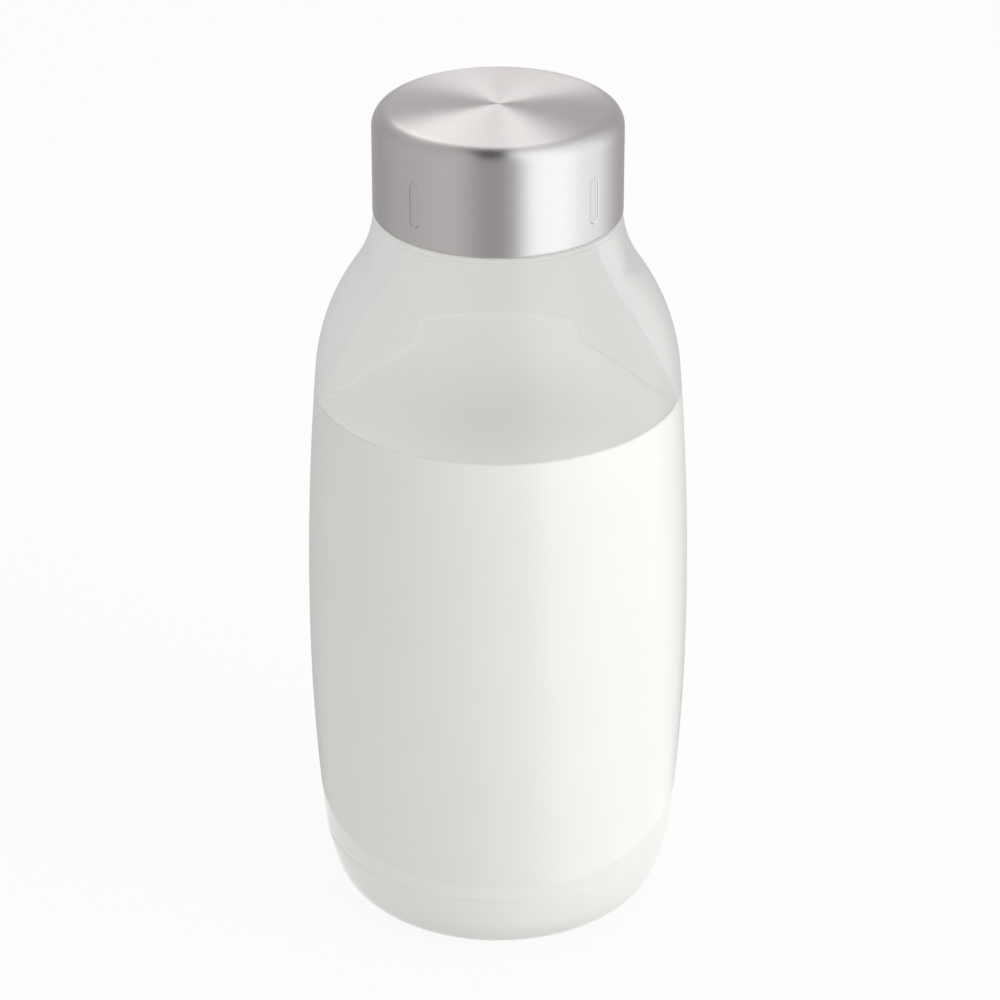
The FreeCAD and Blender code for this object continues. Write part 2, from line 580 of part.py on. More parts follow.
def liner_outline(body, sizes, worked):
    """Half of the liner: a cup that fits the shell, with the gasket's seat under its top."""
    radius, bore = worked.liner_radius, worked.liner_bore
    top, seat, foot = worked.liner_ceiling, worked.gasket_ceiling, worked.liner_foot
    edge_curve = sizes.cap_round - sizes.sheet - sizes.liner_fit
    foot_curve = sizes.hem_round - sizes.sheet - sizes.liner_fit
    edge_centre = (radius - edge_curve, top - edge_curve)
    foot_centre = (radius - foot_curve, foot + foot_curve)

    outline = Outline(body, "liner_section")
    foot_line = outline.line((bore, foot), (foot_centre[0], foot))
    foot_edge = outline.arc(foot_centre, (foot_centre[0], foot), (radius, foot_centre[1]))
    side = outline.line((radius, foot_centre[1]), (radius, edge_centre[1]))
    edge = outline.arc(edge_centre, (radius, edge_centre[1]), (edge_centre[0], top))
    top_line = outline.line((edge_centre[0], top), (0, top))
    axis = outline.line((0, top), (0, seat))
    seat_line = outline.line((0, seat), (bore, seat))
    inner_side = outline.line((bore, seat), (bore, foot))

    outline.close(corners={top_line, axis, seat_line, inner_side})
    outline.flat(foot_line, top_line, seat_line)
    outline.upright(side, inner_side)
    outline.on_axis(axis, "start", "finish")
    outline.radius(edge, "Sizes.cap_round - Sizes.sheet - Sizes.liner_fit")
    outline.radius(foot_edge, "Sizes.hem_round - Sizes.sheet - Sizes.liner_fit")
    outline.across(side, "start", "Worked.liner_radius")
    outline.across(inner_side, "start", "Worked.liner_bore")
    outline.height(foot_line, "start", "Worked.liner_foot")
    outline.height(seat_line, "start", "Worked.gasket_ceiling")
    outline.height(top_line, "start", "Worked.liner_ceiling")
    return outline


def make_liner(doc, sizes, worked):
    """The threaded liner, with a keyway open at the top for each boss of the shell."""
    body = doc.addObject("PartDesign::Body", "thread_insert")
    revolve(body, "PartDesign::Revolution", "cup", liner_outline(body, sizes, worked))

    keyway_shape = slot_outline(
        body, "keyway_outline", worked.boss_half_width + sizes.liner_fit,
        worked.slot_low_centre, worked.cap_ceiling,
        {"half_width": "Worked.boss_half_width + Sizes.liner_fit",
         "low": "Worked.slot_low_centre",
         "high": "Worked.cap_ceiling",
         "plane": "Worked.boss_face - Sizes.liner_fit"})
    keyway = body.newObject("PartDesign::Pocket", "keyway")
    keyway.Profile = keyway_shape.sketch
    keyway.Reversed = True
    keyway.setExpression("Length", "Sizes.slot_depth + Sizes.sheet + Sizes.liner_fit")
    repeat_round(body, "keyways", [keyway], "Sizes.slot_count")

    half = sizes.liner_thread_width / 2
    section = thread_outline(
        body, "liner_thread_section", sizes.liner_thread_width, worked.liner_bore + sizes.thread_bite,
        (sizes.finish_radius + sizes.thread_gap + half, worked.liner_thread_start),
        {"half_width": "Sizes.liner_thread_width / 2",
         "root": "Worked.liner_bore + Sizes.thread_bite",
         "centre": "Sizes.finish_radius + Sizes.thread_gap + Sizes.liner_thread_width / 2",
         "height": "Worked.liner_thread_start"})
    thread = wind(body, "liner_thread", section, "Sizes.liner_thread_turns")
    repeat_round(body, "liner_threads", [thread], "Sizes.thread_starts")
    turn_to_slots(body)
    return body


def make_gasket(doc, sizes, worked):
    """The flat sealing ring between the glass rim and the liner's seat."""
    inside = worked.bore_radius - sizes.gasket_reach
    outside = worked.liner_bore - sizes.gasket_gap
    low, high = worked.rim_height, worked.gasket_ceiling

    body = doc.addObject("PartDesign::Body", "gasket")
    outline = Outline(body, "gasket_section")
    under = outline.line((inside, low), (outside, low))
    outer = outline.line((outside, low), (outside, high))
    over = outline.line((outside, high), (inside, high))
    inner = outline.line((inside, high), (inside, low))
    outline.close(corners={under, outer, over, inner})
    outline.flat(under, over)
    outline.upright(outer, inner)
    outline.across(inner, "start", "Worked.bore_radius - Sizes.gasket_reach")
    outline.across(outer, "start", "Worked.liner_bore - Sizes.gasket_gap")
    outline.height(under, "start", "Worked.rim_height")
    outline.height(over, "start", "Worked.gasket_ceiling")
    revolve(body, "PartDesign::Revolution", "ring", outline)
    return body


def check(doc, pieces):
    """Stop unless every object was worked out and every piece is one valid solid."""
    for item in doc.Objects:
        faults = {"Invalid", "Error"}.intersection(item.State)
        if faults:
            raise RuntimeError(f"{item.Name}: {', '.join(sorted(faults))}")
    for piece in pieces:
        shape = piece.Shape
        if shape.isNull() or not shape.isValid() or len(shape.Solids) != 1:
            raise RuntimeError(f"{piece.Label}: not one valid solid")


def main():
    doc = FreeCAD.newDocument("milk_bottle")
    sizes = make_sheet(doc)
    worked = make_worked(doc)
    makers = [make_bottle, make_milk, make_shell, make_liner, make_gasket]
    pieces = [make(doc, sizes, worked) for make in makers]
    doc.recompute()
    check(doc, pieces)

    os.makedirs("parts", exist_ok=True)
    for piece in pieces:
        piece.Shape.exportStep(os.path.join("parts", f"{piece.Label}.step"))
        print(f"{piece.Label}: {piece.Shape.Volume / 1000:.2f} ml")


main()
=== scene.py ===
"""Glass milk bottle full of milk, closed by a brushed steel screw cap: its looks, its light and its camera.

The bottle stands on the XY plane with its axis on Z, and its front faces -Y. Profiles are in millimetres,
and the finished pieces are in metres.
"""
import math

import bpy
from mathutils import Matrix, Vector


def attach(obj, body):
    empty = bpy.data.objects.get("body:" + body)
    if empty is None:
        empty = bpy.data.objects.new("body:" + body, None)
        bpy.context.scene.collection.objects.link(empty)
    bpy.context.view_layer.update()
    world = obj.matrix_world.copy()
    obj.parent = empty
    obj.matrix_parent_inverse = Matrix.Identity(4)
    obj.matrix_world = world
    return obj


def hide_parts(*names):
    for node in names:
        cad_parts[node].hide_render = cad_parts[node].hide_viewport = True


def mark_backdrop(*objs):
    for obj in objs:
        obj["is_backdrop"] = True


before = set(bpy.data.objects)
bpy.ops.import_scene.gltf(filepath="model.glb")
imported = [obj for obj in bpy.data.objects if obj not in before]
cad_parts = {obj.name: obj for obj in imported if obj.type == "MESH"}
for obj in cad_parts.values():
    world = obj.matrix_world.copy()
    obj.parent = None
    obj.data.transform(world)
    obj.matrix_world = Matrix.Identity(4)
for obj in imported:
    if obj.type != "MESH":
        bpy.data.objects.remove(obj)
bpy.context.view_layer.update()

MM = 0.001

# The bottle's outside, in millimetres.
BODY_RADIUS = 50.2
WIDEST_HEIGHT = 83.5
LOWER_BARREL_CURVE = 620.0
UPPER_BARREL_CURVE = 850.0
HEEL_HEIGHT = 23.0
HEEL_BLEND_CURVE = 57.0
HEEL_CURVE = 13.4
FOOT_WIDTH = 2.5
PUNT_HEIGHT = 4.0
SHOULDER_CURVE = 55.0
FLARE_CURVE = 32.7
FLARE_RISE = 2.8
LEDGE_HEIGHT = 196.8
COLLAR_HEIGHT = 0.9
COLLAR_ROUND = 0.5
COLLAR_SET_IN = 0.3

# The bottle's inside and its mouth.
WALL = 2.6
FLOOR_THICKNESS = 4.0
INNER_SHOULDER_CURVE = 95.0
THROAT_CURVE = 80.0
THROAT_RISE = 17.3
FINISH_RADIUS = 24.5
FINISH_WALL = 4.0
FINISH_HEIGHT = 24.0
FINISH_ROOT = 1.2
RIM_ROUND = 1.2
BORE_RADIUS = FINISH_RADIUS - FINISH_WALL
RIM_HEIGHT = LEDGE_HEIGHT + FINISH_HEIGHT
FLOOR_HEIGHT = PUNT_HEIGHT + FLOOR_THICKNESS

# The marks that the mould's joints leave round the glass: under the cap, and at the heel.
NECK_SEAM_HEIGHT = 195.6
NECK_SEAM_WIDTH = 0.5
NECK_SEAM_DEPTH = 0.14
HEEL_SEAM_HEIGHT = 19.8
HEEL_SEAM_WIDTH = 0.9
HEEL_SEAM_DEPTH = 0.22

# The threads on the neck and in the cap. Turns and fades are in full turns.
THREAD_STARTS = 4
THREAD_HEIGHT = 1.3
THREAD_DROP = 6.0
THREAD_GAP = 0.5
FLANK_GAP = 0.45
GLASS_THREAD_WIDTH = 2.2
GLASS_THREAD_TURNS = 0.28
GLASS_THREAD_FADE = 0.03
LINER_THREAD_WIDTH = 1.4
LINER_THREAD_TURNS = 0.2
LINER_THREAD_FADE = 0.02
THREAD_PITCH = GLASS_THREAD_WIDTH + LINER_THREAD_WIDTH + 2 * FLANK_GAP
THREAD_LEAD = THREAD_PITCH * THREAD_STARTS
THREAD_FOOT = RIM_HEIGHT - THREAD_DROP - THREAD_LEAD * GLASS_THREAD_TURNS

# The milk.
MILK_LEVEL = 145.9
MENISCUS_HEIGHT = 0.9
MENISCUS_REACH = 1.3
MILK_WETTING = 0.05

# The cap: steel shell, threaded liner and sealing ring.
SHEET = 0.6
CAP_ROUND = 5.0
CROWN_RISE = 0.6
HEM_ROUND = 1.2
HEM_LIP = 0.6
SKIRT_GAP = 0.15
LINER_WALL = 5.0
LINER_TOP = 2.2
LINER_FIT = 0.1
MOULDED_EDGE = 0.3
RING_THICKNESS = 1.7
RING_REACH = 1.0
RING_GAP = 0.3
LINER_BORE = FINISH_RADIUS + THREAD_HEIGHT + THREAD_GAP
LINER_RADIUS = LINER_BORE + LINER_WALL
SHELL_BORE = LINER_RADIUS + LINER_FIT
CAP_RADIUS = SHELL_BORE + SHEET
NECK_RADIUS = CAP_RADIUS - COLLAR_SET_IN
SKIRT_HEIGHT = LEDGE_HEIGHT + SKIRT_GAP
LINER_FOOT = SKIRT_HEIGHT + SHEET + LINER_FIT
RING_CEILING = RIM_HEIGHT + RING_THICKNESS
LINER_CEILING = RING_CEILING + LINER_TOP
CAP_CEILING = LINER_CEILING + LINER_FIT + SHEET + CROWN_RISE

# The slots pressed into the cap's side. The first one stands that many degrees round from the front.
SLOT_COUNT = 4
SLOT_WIDTH = 2.7
SLOT_HEIGHT = 12.1
SLOT_RISE = 5.25
SLOT_DEPTH = 0.45
SLOT_TURN = 48.8
SLOT_EDGE = 0.28
SLOT_LOW = SKIRT_HEIGHT + SLOT_RISE + SLOT_WIDTH / 2
SLOT_HIGH = SKIRT_HEIGHT + SLOT_RISE + SLOT_HEIGHT - SLOT_WIDTH / 2
FRONT = math.radians(-90)
LINER_THREAD_FOOT = THREAD_FOOT + THREAD_LEAD * SLOT_TURN / 360 - THREAD_PITCH / 2


def linear(hex_colour):
    """An sRGB hex colour as linear red, green and blue, with full alpha."""
    parts = [int(hex_colour[place:place + 2], 16) / 255 for place in (1, 3, 5)]
    return [part / 12.92 if part <= 0.04045 else ((part + 0.055) / 1.055) ** 2.4 for part in parts] + [1.0]


def node(tree, kind, inputs=None, **settings):
    """Adds one node to a tree with its settings, its plain input values and its links from other nodes."""
    made = tree.nodes.new(kind)
    for name, value in settings.items():
        setattr(made, name, value)
    for key, value in (inputs or {}).items():
        if isinstance(value, bpy.types.Node):
            value = next(socket for socket in value.outputs if socket.enabled)
        if isinstance(value, bpy.types.NodeSocket):
            tree.links.new(value, made.inputs[key])
        else:
            made.inputs[key].default_value = value
    return made


# Materials.


def blank_material(name):
    """An empty material and its node tree."""
    material = bpy.data.materials.new(name)
    material.use_nodes = True
    material.node_tree.nodes.clear()
    return material, material.node_tree


def bounced_about(tree):
    """One for light that has met more than a few surfaces, and nought for other light."""
    few_surfaces = 3.5
    surfaces = node(tree, "ShaderNodeLightPath").outputs["Ray Depth"]
    return node(tree, "ShaderNodeMath", {0: surfaces, 1: few_surfaces}, operation="GREATER_THAN")


def blown_flint_glass():
    """Soda-lime flint glass, blown in a polished iron mould and fire-polished: clear and faintly cool, with a
    soft waviness about a finger wide where the hot skin chilled against the iron."""
    wave_width = 14 * MM
    wave_depth = 0.05 * MM
    material, tree = blank_material("blown_flint_glass")
    place = node(tree, "ShaderNodeTexCoord").outputs["Object"]
    waves = node(tree, "ShaderNodeTexNoise", {"Vector": place, "Scale": 1 / wave_width, "Detail": 1.0})
    skin = node(tree, "ShaderNodeBump", {"Height": waves, "Strength": 1.0, "Distance": wave_depth})
    glass = node(tree, "ShaderNodeBsdfPrincipled", {
        "Base Color": linear("#fbfbfa"), "Roughness": 0.0, "IOR": 1.52,
        "Transmission Weight": 1.0, "Normal": skin})
    # Lamps and the room light what is inside straight through the glass, and light that has bounced about in
    # the thick neck leaves it straight too.
    rays = node(tree, "ShaderNodeLightPath").outputs
    lighting = node(tree, "ShaderNodeMath", {
        0: rays["Is Shadow Ray"], 1: rays["Is Diffuse Ray"]}, operation="MAXIMUM")
    straight = node(tree, "ShaderNodeMath", {0: lighting, 1: bounced_about(tree)}, operation="MAXIMUM")
    clear = node(tree, "ShaderNodeBsdfTransparent", {"Color": linear("#f9f9f8")})
    lit = node(tree, "ShaderNodeMixShader", {0: straight, 1: glass, 2: clear})
    node(tree, "ShaderNodeOutputMaterial", {"Surface": lit})
    return material


def whole_milk():
    """Whole milk: fat drops scatter all the light back, so it is opaque, warm white and barely glossy, with a
    cloudiness some centimetres wide where cream gathers."""
    cloud_width = 22 * MM
    material, tree = blank_material("whole_milk")
    place = node(tree, "ShaderNodeTexCoord").outputs["Object"]
    clouds = node(tree, "ShaderNodeTexNoise", {"Vector": place, "Scale": 1 / cloud_width, "Detail": 2.0})
    cream = node(tree, "ShaderNodeMix", {
        "Factor": clouds, "A": linear("#f2f0eb"), "B": linear("#f6f4ef")}, data_type="RGBA")
    milk = node(tree, "ShaderNodeBsdfPrincipled", {
        "Base Color": cream.outputs["Result"], "Roughness": 0.45, "IOR": 1.35, "Specular IOR Level": 0.25})
    node(tree, "ShaderNodeOutputMaterial", {"Surface": milk})
    return material


def brushed_stainless_steel():
    """Stainless sheet, spun on a lathe under an abrasive pad: fine rings on the top and fine lines round the
    side, which spread a light's reflection across the lines into wedges and stripes. The real lines are about
    a tenth of a millimetre wide, and are drawn wider here so that they show."""
    line_width = 0.35 * MM
    line_length = 14 * MM
    line_depth = 0.004 * MM
    material, tree = blank_material("brushed_stainless_steel")
    place = node(tree, "ShaderNodeTexCoord").outputs["Object"]
    parts = node(tree, "ShaderNodeSeparateXYZ", {"Vector": place})
    level = node(tree, "ShaderNodeCombineXYZ", {"X": parts.outputs["X"], "Y": parts.outputs["Y"]})
    radius = node(tree, "ShaderNodeVectorMath", {0: level}, operation="LENGTH").outputs["Value"]
    across = node(tree, "ShaderNodeMath", {0: radius, 1: parts.outputs["Z"]}, operation="SUBTRACT")
    stroke = node(tree, "ShaderNodeCombineXYZ", {
        "X": node(tree, "ShaderNodeMath", {0: across, 1: line_width}, operation="DIVIDE"),
        "Y": node(tree, "ShaderNodeMath", {0: parts.outputs["X"], 1: line_length}, operation="DIVIDE"),
        "Z": node(tree, "ShaderNodeMath", {0: parts.outputs["Y"], 1: line_length}, operation="DIVIDE")})
    lines = node(tree, "ShaderNodeTexNoise", {"Vector": stroke, "Scale": 1.0, "Detail": 3.0})
    tone = node(tree, "ShaderNodeMix", {
        "Factor": lines, "A": linear("#c9c4c3"), "B": linear("#d7d2d1")}, data_type="RGBA")
    gloss = node(tree, "ShaderNodeMapRange", {"Value": lines, "To Min": 0.28, "To Max": 0.38})
    grooves = node(tree, "ShaderNodeBump", {"Height": lines, "Strength": 0.6, "Distance": line_depth})
    steel = node(tree, "ShaderNodeBsdfPrincipled", {
        "Base Color": tone.outputs["Result"], "Metallic": 1.0, "Roughness": gloss,
        "Anisotropic": 0.9, "Anisotropic Rotation": 0.25, "Normal": grooves,
        "Tangent": node(tree, "ShaderNodeTangent", direction_type="RADIAL", axis="Z")})
    node(tree, "ShaderNodeOutputMaterial", {"Surface": steel})
    return material


def moulded_polypropylene():
    """Natural polypropylene, injection moulded in a spark-eroded tool: milky white and satin, with a fine
    grain. The real grain is about a tenth of a millimetre, and is drawn wider here so that it shows."""
    grain_width = 0.3 * MM
    grain_depth = 0.01 * MM
    material, tree = blank_material("moulded_polypropylene")
    place = node(tree, "ShaderNodeTexCoord").outputs["Object"]
    grain = node(tree, "ShaderNodeTexNoise", {"Vector": place, "Scale": 1 / grain_width, "Detail": 2.0})
    tone = node(tree, "ShaderNodeMix", {
        "Factor": grain, "A": linear("#e3e2dc"), "B": linear("#ecebe6")}, data_type="RGBA")
    relief = node(tree, "ShaderNodeBump", {"Height": grain, "Strength": 0.5, "Distance": grain_depth})
    plastic = node(tree, "ShaderNodeBsdfPrincipled", {
        "Base Color": tone.outputs["Result"], "Roughness": 0.42, "IOR": 1.49, "Normal": relief})
    node(tree, "ShaderNodeOutputMaterial", {"Surface": plastic})
    return material


def moulded_silicone():
    """Food-grade silicone rubber, press moulded: matt and translucent white, with faint flow clouds."""
    cloud_width = 4 * MM
    material, tree = blank_material("moulded_silicone")
    place = node(tree, "ShaderNodeTexCoord").outputs["Object"]
    clouds = node(tree, "ShaderNodeTexNoise", {"Vector": place, "Scale": 1 / cloud_width, "Detail": 2.0})
    tone = node(tree, "ShaderNodeMix", {
        "Factor": clouds, "A": linear("#dfe3e3"), "B": linear("#eaeded")}, data_type="RGBA")
    silicone = node(tree, "ShaderNodeBsdfPrincipled", {
        "Base Color": tone.outputs["Result"], "Roughness": 0.6, "IOR": 1.41})
    node(tree, "ShaderNodeOutputMaterial", {"Surface": silicone})
    return material


# Profiles of the turned pieces.


def along(start, through, reach):
    """The point at that reach from start, in the direction of through."""
    share = reach / math.dist(start, through)
    return (start[0] + share * (through[0] - start[0]), start[1] + share * (through[1] - start[1]))


def lower_meeting(centre_a, reach_a, centre_b, reach_b):
    """The lower of the two points at those reaches from the two centres."""
    span = math.dist(centre_a, centre_b)
    forward = (reach_a ** 2 - reach_b ** 2 + span ** 2) / (2 * span)
    sideways = math.sqrt(reach_a ** 2 - forward ** 2)
    ahead = ((centre_b[0] - centre_a[0]) / span, (centre_b[1] - centre_a[1]) / span)
    foot = (centre_a[0] + ahead[0] * forward, centre_a[1] + ahead[1] * forward)
    left = (foot[0] - ahead[1] * sideways, foot[1] + ahead[0] * sideways)
    right = (foot[0] + ahead[1] * sideways, foot[1] - ahead[0] * sideways)
    return min(left, right, key=lambda point: point[1])


class Profile:
    """Half of a turned section: (radius, height) points in millimetres, laid along lines and arcs."""

    def __init__(self, start):
        self.points = [start]

    def line(self, finish, step):
        start = self.points[-1]
        count = max(1, math.ceil(math.dist(start, finish) / step))
        for index in range(1, count + 1):
            share = index / count
            self.points.append(tuple(a + share * (b - a) for a, b in zip(start, finish)))

    def arc(self, centre, finish, step, hollow=False):
        """An arc that runs anticlockwise, or clockwise where it is hollow."""
        start = self.points[-1]
        reach = math.dist(centre, start)
        first = math.atan2(start[1] - centre[1], start[0] - centre[0])
        last = math.atan2(finish[1] - centre[1], finish[0] - centre[0])
        full = 2 * math.pi
        sweep = -((first - last) % full) if hollow else (last - first) % full
        count = max(2, math.ceil(reach * abs(sweep) / step))
        for index in range(1, count + 1):
            angle = first + sweep * index / count
            self.points.append((centre[0] + reach * math.cos(angle), centre[1] + reach * math.sin(angle)))

    def groove(self, finish, depth):
        """A shallow round-bottomed groove from the last point to finish."""
        start = self.points[-1]
        rows = (0.2, 0.35, 0.5, 0.65, 0.8, 1.0)
        for share in rows:
            sink = depth * math.sin(math.pi * share) ** 2
            radius = start[0] + share * (finish[0] - start[0]) - sink
            self.points.append((radius, start[1] + share * (finish[1] - start[1])))


def on_arc(centre, reach, height):
    """The outer point of an arc's circle at that height."""
    return (centre[0] + math.sqrt(reach ** 2 - (height - centre[1]) ** 2), height)


def heel_points():
    """Centre of the barrel's lower side, top of the heel, and the centres of the heel's two curves."""
    lower_centre = (BODY_RADIUS - LOWER_BARREL_CURVE, WIDEST_HEIGHT)
    heel_top = on_arc(lower_centre, LOWER_BARREL_CURVE, HEEL_HEIGHT)
    blend_centre = along(heel_top, lower_centre, HEEL_BLEND_CURVE)
    reach = HEEL_BLEND_CURVE - HEEL_CURVE
    sideways = math.sqrt(reach ** 2 - (blend_centre[1] - HEEL_CURVE) ** 2)
    return lower_centre, heel_top, blend_centre, (blend_centre[0] + sideways, HEEL_CURVE)


def cavity(wetting=0.0):
    """The key points of the bottle's inside, moved into the glass by the wetting."""
    depth = WALL - wetting
    lower_centre, outer_heel_top, blend_centre, heel_centre = heel_points()
    upper_centre = (BODY_RADIUS - UPPER_BARREL_CURVE, WIDEST_HEIGHT)
    upper_curve = UPPER_BARREL_CURVE - depth
    floor = FLOOR_HEIGHT - wetting
    floor_rise = floor - depth
    floor_curve = (heel_centre[0] ** 2 + floor_rise ** 2) / (2 * floor_rise)
    shoulder_curve = INNER_SHOULDER_CURVE + wetting
    bore = BORE_RADIUS + wetting
    throat_curve = THROAT_CURVE - wetting
    throat_centre = (bore + throat_curve, LEDGE_HEIGHT + THROAT_RISE)
    shoulder_centre = lower_meeting(
        upper_centre, upper_curve - shoulder_curve, throat_centre, throat_curve + shoulder_curve)
    return {
        "floor_centre": (0.0, floor - floor_curve),
        "floor": (0.0, floor),
        "heel_low": (heel_centre[0], depth),
        "heel_centre": heel_centre,
        "heel_middle": along(blend_centre, heel_centre, HEEL_BLEND_CURVE - depth),
        "blend_centre": blend_centre,
        "heel_top": along(outer_heel_top, lower_centre, depth),
        "lower_centre": lower_centre,
        "widest": (BODY_RADIUS - depth, WIDEST_HEIGHT),
        "upper_centre": upper_centre,
        "shoulder_start": along(upper_centre, shoulder_centre, upper_curve),
        "shoulder_centre": shoulder_centre,
        "shoulder_curve": shoulder_curve,
        "throat_start": along(shoulder_centre, throat_centre, shoulder_curve),
        "throat_centre": throat_centre,
        "throat_end": (bore, throat_centre[1])}


def bottle_profile():
    """The whole section of the glass: under the base, up the outside, over the rim and down the inside."""
    widest = (BODY_RADIUS, WIDEST_HEIGHT)
    upper_centre = (BODY_RADIUS - UPPER_BARREL_CURVE, WIDEST_HEIGHT)
    lower_centre, heel_top, blend_centre, heel_centre = heel_points()
    heel_seam_low = HEEL_SEAM_HEIGHT - HEEL_SEAM_WIDTH / 2
    heel_seam_high = HEEL_SEAM_HEIGHT + HEEL_SEAM_WIDTH / 2
    foot_outside = (heel_centre[0], 0.0)
    foot_inside = (foot_outside[0] - FOOT_WIDTH, 0.0)
    punt_curve = (foot_inside[0] ** 2 + PUNT_HEIGHT ** 2) / (2 * PUNT_HEIGHT)
    flare_centre = (NECK_RADIUS + FLARE_CURVE, LEDGE_HEIGHT + FLARE_RISE)
    shoulder_centre = lower_meeting(
        upper_centre, UPPER_BARREL_CURVE - SHOULDER_CURVE, flare_centre, FLARE_CURVE + SHOULDER_CURVE)
    neck_seam_low = NECK_SEAM_HEIGHT - NECK_SEAM_WIDTH / 2
    neck_seam_high = NECK_SEAM_HEIGHT + NECK_SEAM_WIDTH / 2
    flare_drop = flare_centre[1] - neck_seam_low
    flare_end = (flare_centre[0] - math.sqrt(FLARE_CURVE ** 2 - flare_drop ** 2), neck_seam_low)
    collar_foot = LEDGE_HEIGHT - COLLAR_HEIGHT
    collar = flare_centre[0] - math.sqrt(FLARE_CURVE ** 2 - (flare_centre[1] - collar_foot) ** 2)
    collar_edge = (collar - COLLAR_ROUND, LEDGE_HEIGHT - COLLAR_ROUND)
    root = (FINISH_RADIUS + FINISH_ROOT, LEDGE_HEIGHT + FINISH_ROOT)
    outer_rim = (FINISH_RADIUS - RIM_ROUND, RIM_HEIGHT - RIM_ROUND)
    inner_rim = (BORE_RADIUS + RIM_ROUND, RIM_HEIGHT - RIM_ROUND)
    inside = cavity()

    profile = Profile((0.0, PUNT_HEIGHT))
    profile.arc((0.0, PUNT_HEIGHT - punt_curve), foot_inside, step=2.2, hollow=True)
    profile.line(foot_outside, step=0.65)
    profile.arc(heel_centre, along(blend_centre, heel_centre, HEEL_BLEND_CURVE), step=0.8)
    profile.arc(blend_centre, on_arc(blend_centre, HEEL_BLEND_CURVE, heel_seam_low), step=0.9)
    profile.groove(on_arc(blend_centre, HEEL_BLEND_CURVE, heel_seam_high), HEEL_SEAM_DEPTH)
    profile.arc(blend_centre, heel_top, step=0.9)
    profile.arc(lower_centre, widest, step=1.7)
    profile.arc(upper_centre, along(upper_centre, shoulder_centre, UPPER_BARREL_CURVE), step=1.7)
    profile.arc(shoulder_centre, along(shoulder_centre, flare_centre, SHOULDER_CURVE), step=0.9)
    profile.arc(flare_centre, flare_end, step=0.7, hollow=True)
    profile.groove((collar, neck_seam_high), NECK_SEAM_DEPTH)
    profile.line((collar, collar_edge[1]), step=0.15)
    profile.arc(collar_edge, (collar_edge[0], LEDGE_HEIGHT), step=0.15)
    profile.line((root[0], LEDGE_HEIGHT), step=0.7)
    profile.arc(root, (FINISH_RADIUS, root[1]), step=0.3, hollow=True)
    profile.line((FINISH_RADIUS, outer_rim[1]), step=0.34)
    profile.arc(outer_rim, (outer_rim[0], RIM_HEIGHT), step=0.27)
    profile.line((inner_rim[0], RIM_HEIGHT), step=0.4)
    profile.arc(inner_rim, (BORE_RADIUS, inner_rim[1]), step=0.27)
    profile.line(inside["throat_end"], step=1.6)
    profile.arc(inside["throat_centre"], inside["throat_start"], step=1.0)
    profile.arc(inside["shoulder_centre"], inside["shoulder_start"], step=1.0, hollow=True)
    profile.arc(inside["upper_centre"], inside["widest"], step=2.0, hollow=True)
    profile.arc(inside["lower_centre"], inside["heel_top"], step=2.0, hollow=True)
    profile.arc(inside["blend_centre"], inside["heel_middle"], step=1.2, hollow=True)
    profile.arc(inside["heel_centre"], inside["heel_low"], step=0.9, hollow=True)
    profile.arc(inside["floor_centre"], inside["floor"], step=2.5)
    return profile.points


def milk_profile():
    """The milk: the bottle's inside up to the level, where the milk climbs the glass a little. It lies
    against the glass with no film of air between."""
    meniscus_rows = (0.15, 0.3, 0.5, 0.75, 1.05, 1.4, 1.8, 2.3, 3.0, 4.0, 5.5, 8.0)
    inside = cavity(MILK_WETTING)
    brim = on_arc(inside["shoulder_centre"], inside["shoulder_curve"], MILK_LEVEL + MENISCUS_HEIGHT)
    profile = Profile(inside["floor"])
    profile.arc(inside["floor_centre"], inside["heel_low"], step=2.5, hollow=True)
    profile.arc(inside["heel_centre"], inside["heel_middle"], step=0.9)
    profile.arc(inside["blend_centre"], inside["heel_top"], step=1.2)
    profile.arc(inside["lower_centre"], inside["widest"], step=2.0)
    profile.arc(inside["upper_centre"], inside["shoulder_start"], step=2.0)
    profile.arc(inside["shoulder_centre"], brim, step=1.0)
    for away in meniscus_rows:
        climb = MENISCUS_HEIGHT * math.exp(-away / MENISCUS_REACH)
        profile.points.append((brim[0] - away, MILK_LEVEL + climb))
    profile.line((0.0, MILK_LEVEL), step=3.0)
    return profile.points


def shell_profile():
    """The cap's steel sheet: down its inside, round the curled hem, up its outside and over the top."""
    edge = (CAP_RADIUS - CAP_ROUND, CAP_CEILING - CROWN_RISE - CAP_ROUND)
    crown_curve = (edge[0] ** 2 + (CROWN_RISE + CAP_ROUND) ** 2 - CAP_ROUND ** 2) / (2 * CROWN_RISE)
    crown = (0.0, CAP_CEILING - crown_curve)
    hem = (CAP_RADIUS - HEM_ROUND, SKIRT_HEIGHT + HEM_ROUND)
    lip = hem[0] - HEM_LIP
    half = SHEET / 2
    profile = Profile((0.0, CAP_CEILING - SHEET))
    profile.arc(crown, along(crown, edge, crown_curve - SHEET), step=3.0, hollow=True)
    profile.arc(edge, (SHELL_BORE, edge[1]), step=0.7, hollow=True)
    slot_rows(profile, SHELL_BORE, (edge[1], hem[1]))
    profile.arc(hem, (hem[0], SKIRT_HEIGHT + SHEET), step=0.3, hollow=True)
    profile.line((lip + half, SKIRT_HEIGHT + SHEET), step=0.2)
    profile.arc((lip + half, SKIRT_HEIGHT + half), (lip + half, SKIRT_HEIGHT), step=0.16)
    profile.line((hem[0], SKIRT_HEIGHT), step=0.2)
    profile.arc(hem, (CAP_RADIUS, hem[1]), step=0.2)
    slot_rows(profile, CAP_RADIUS, (hem[1], edge[1]))
    profile.arc(edge, along(crown, edge, crown_curve), step=0.3)
    profile.arc(crown, (0.0, CAP_CEILING), step=1.5)
    return profile.points


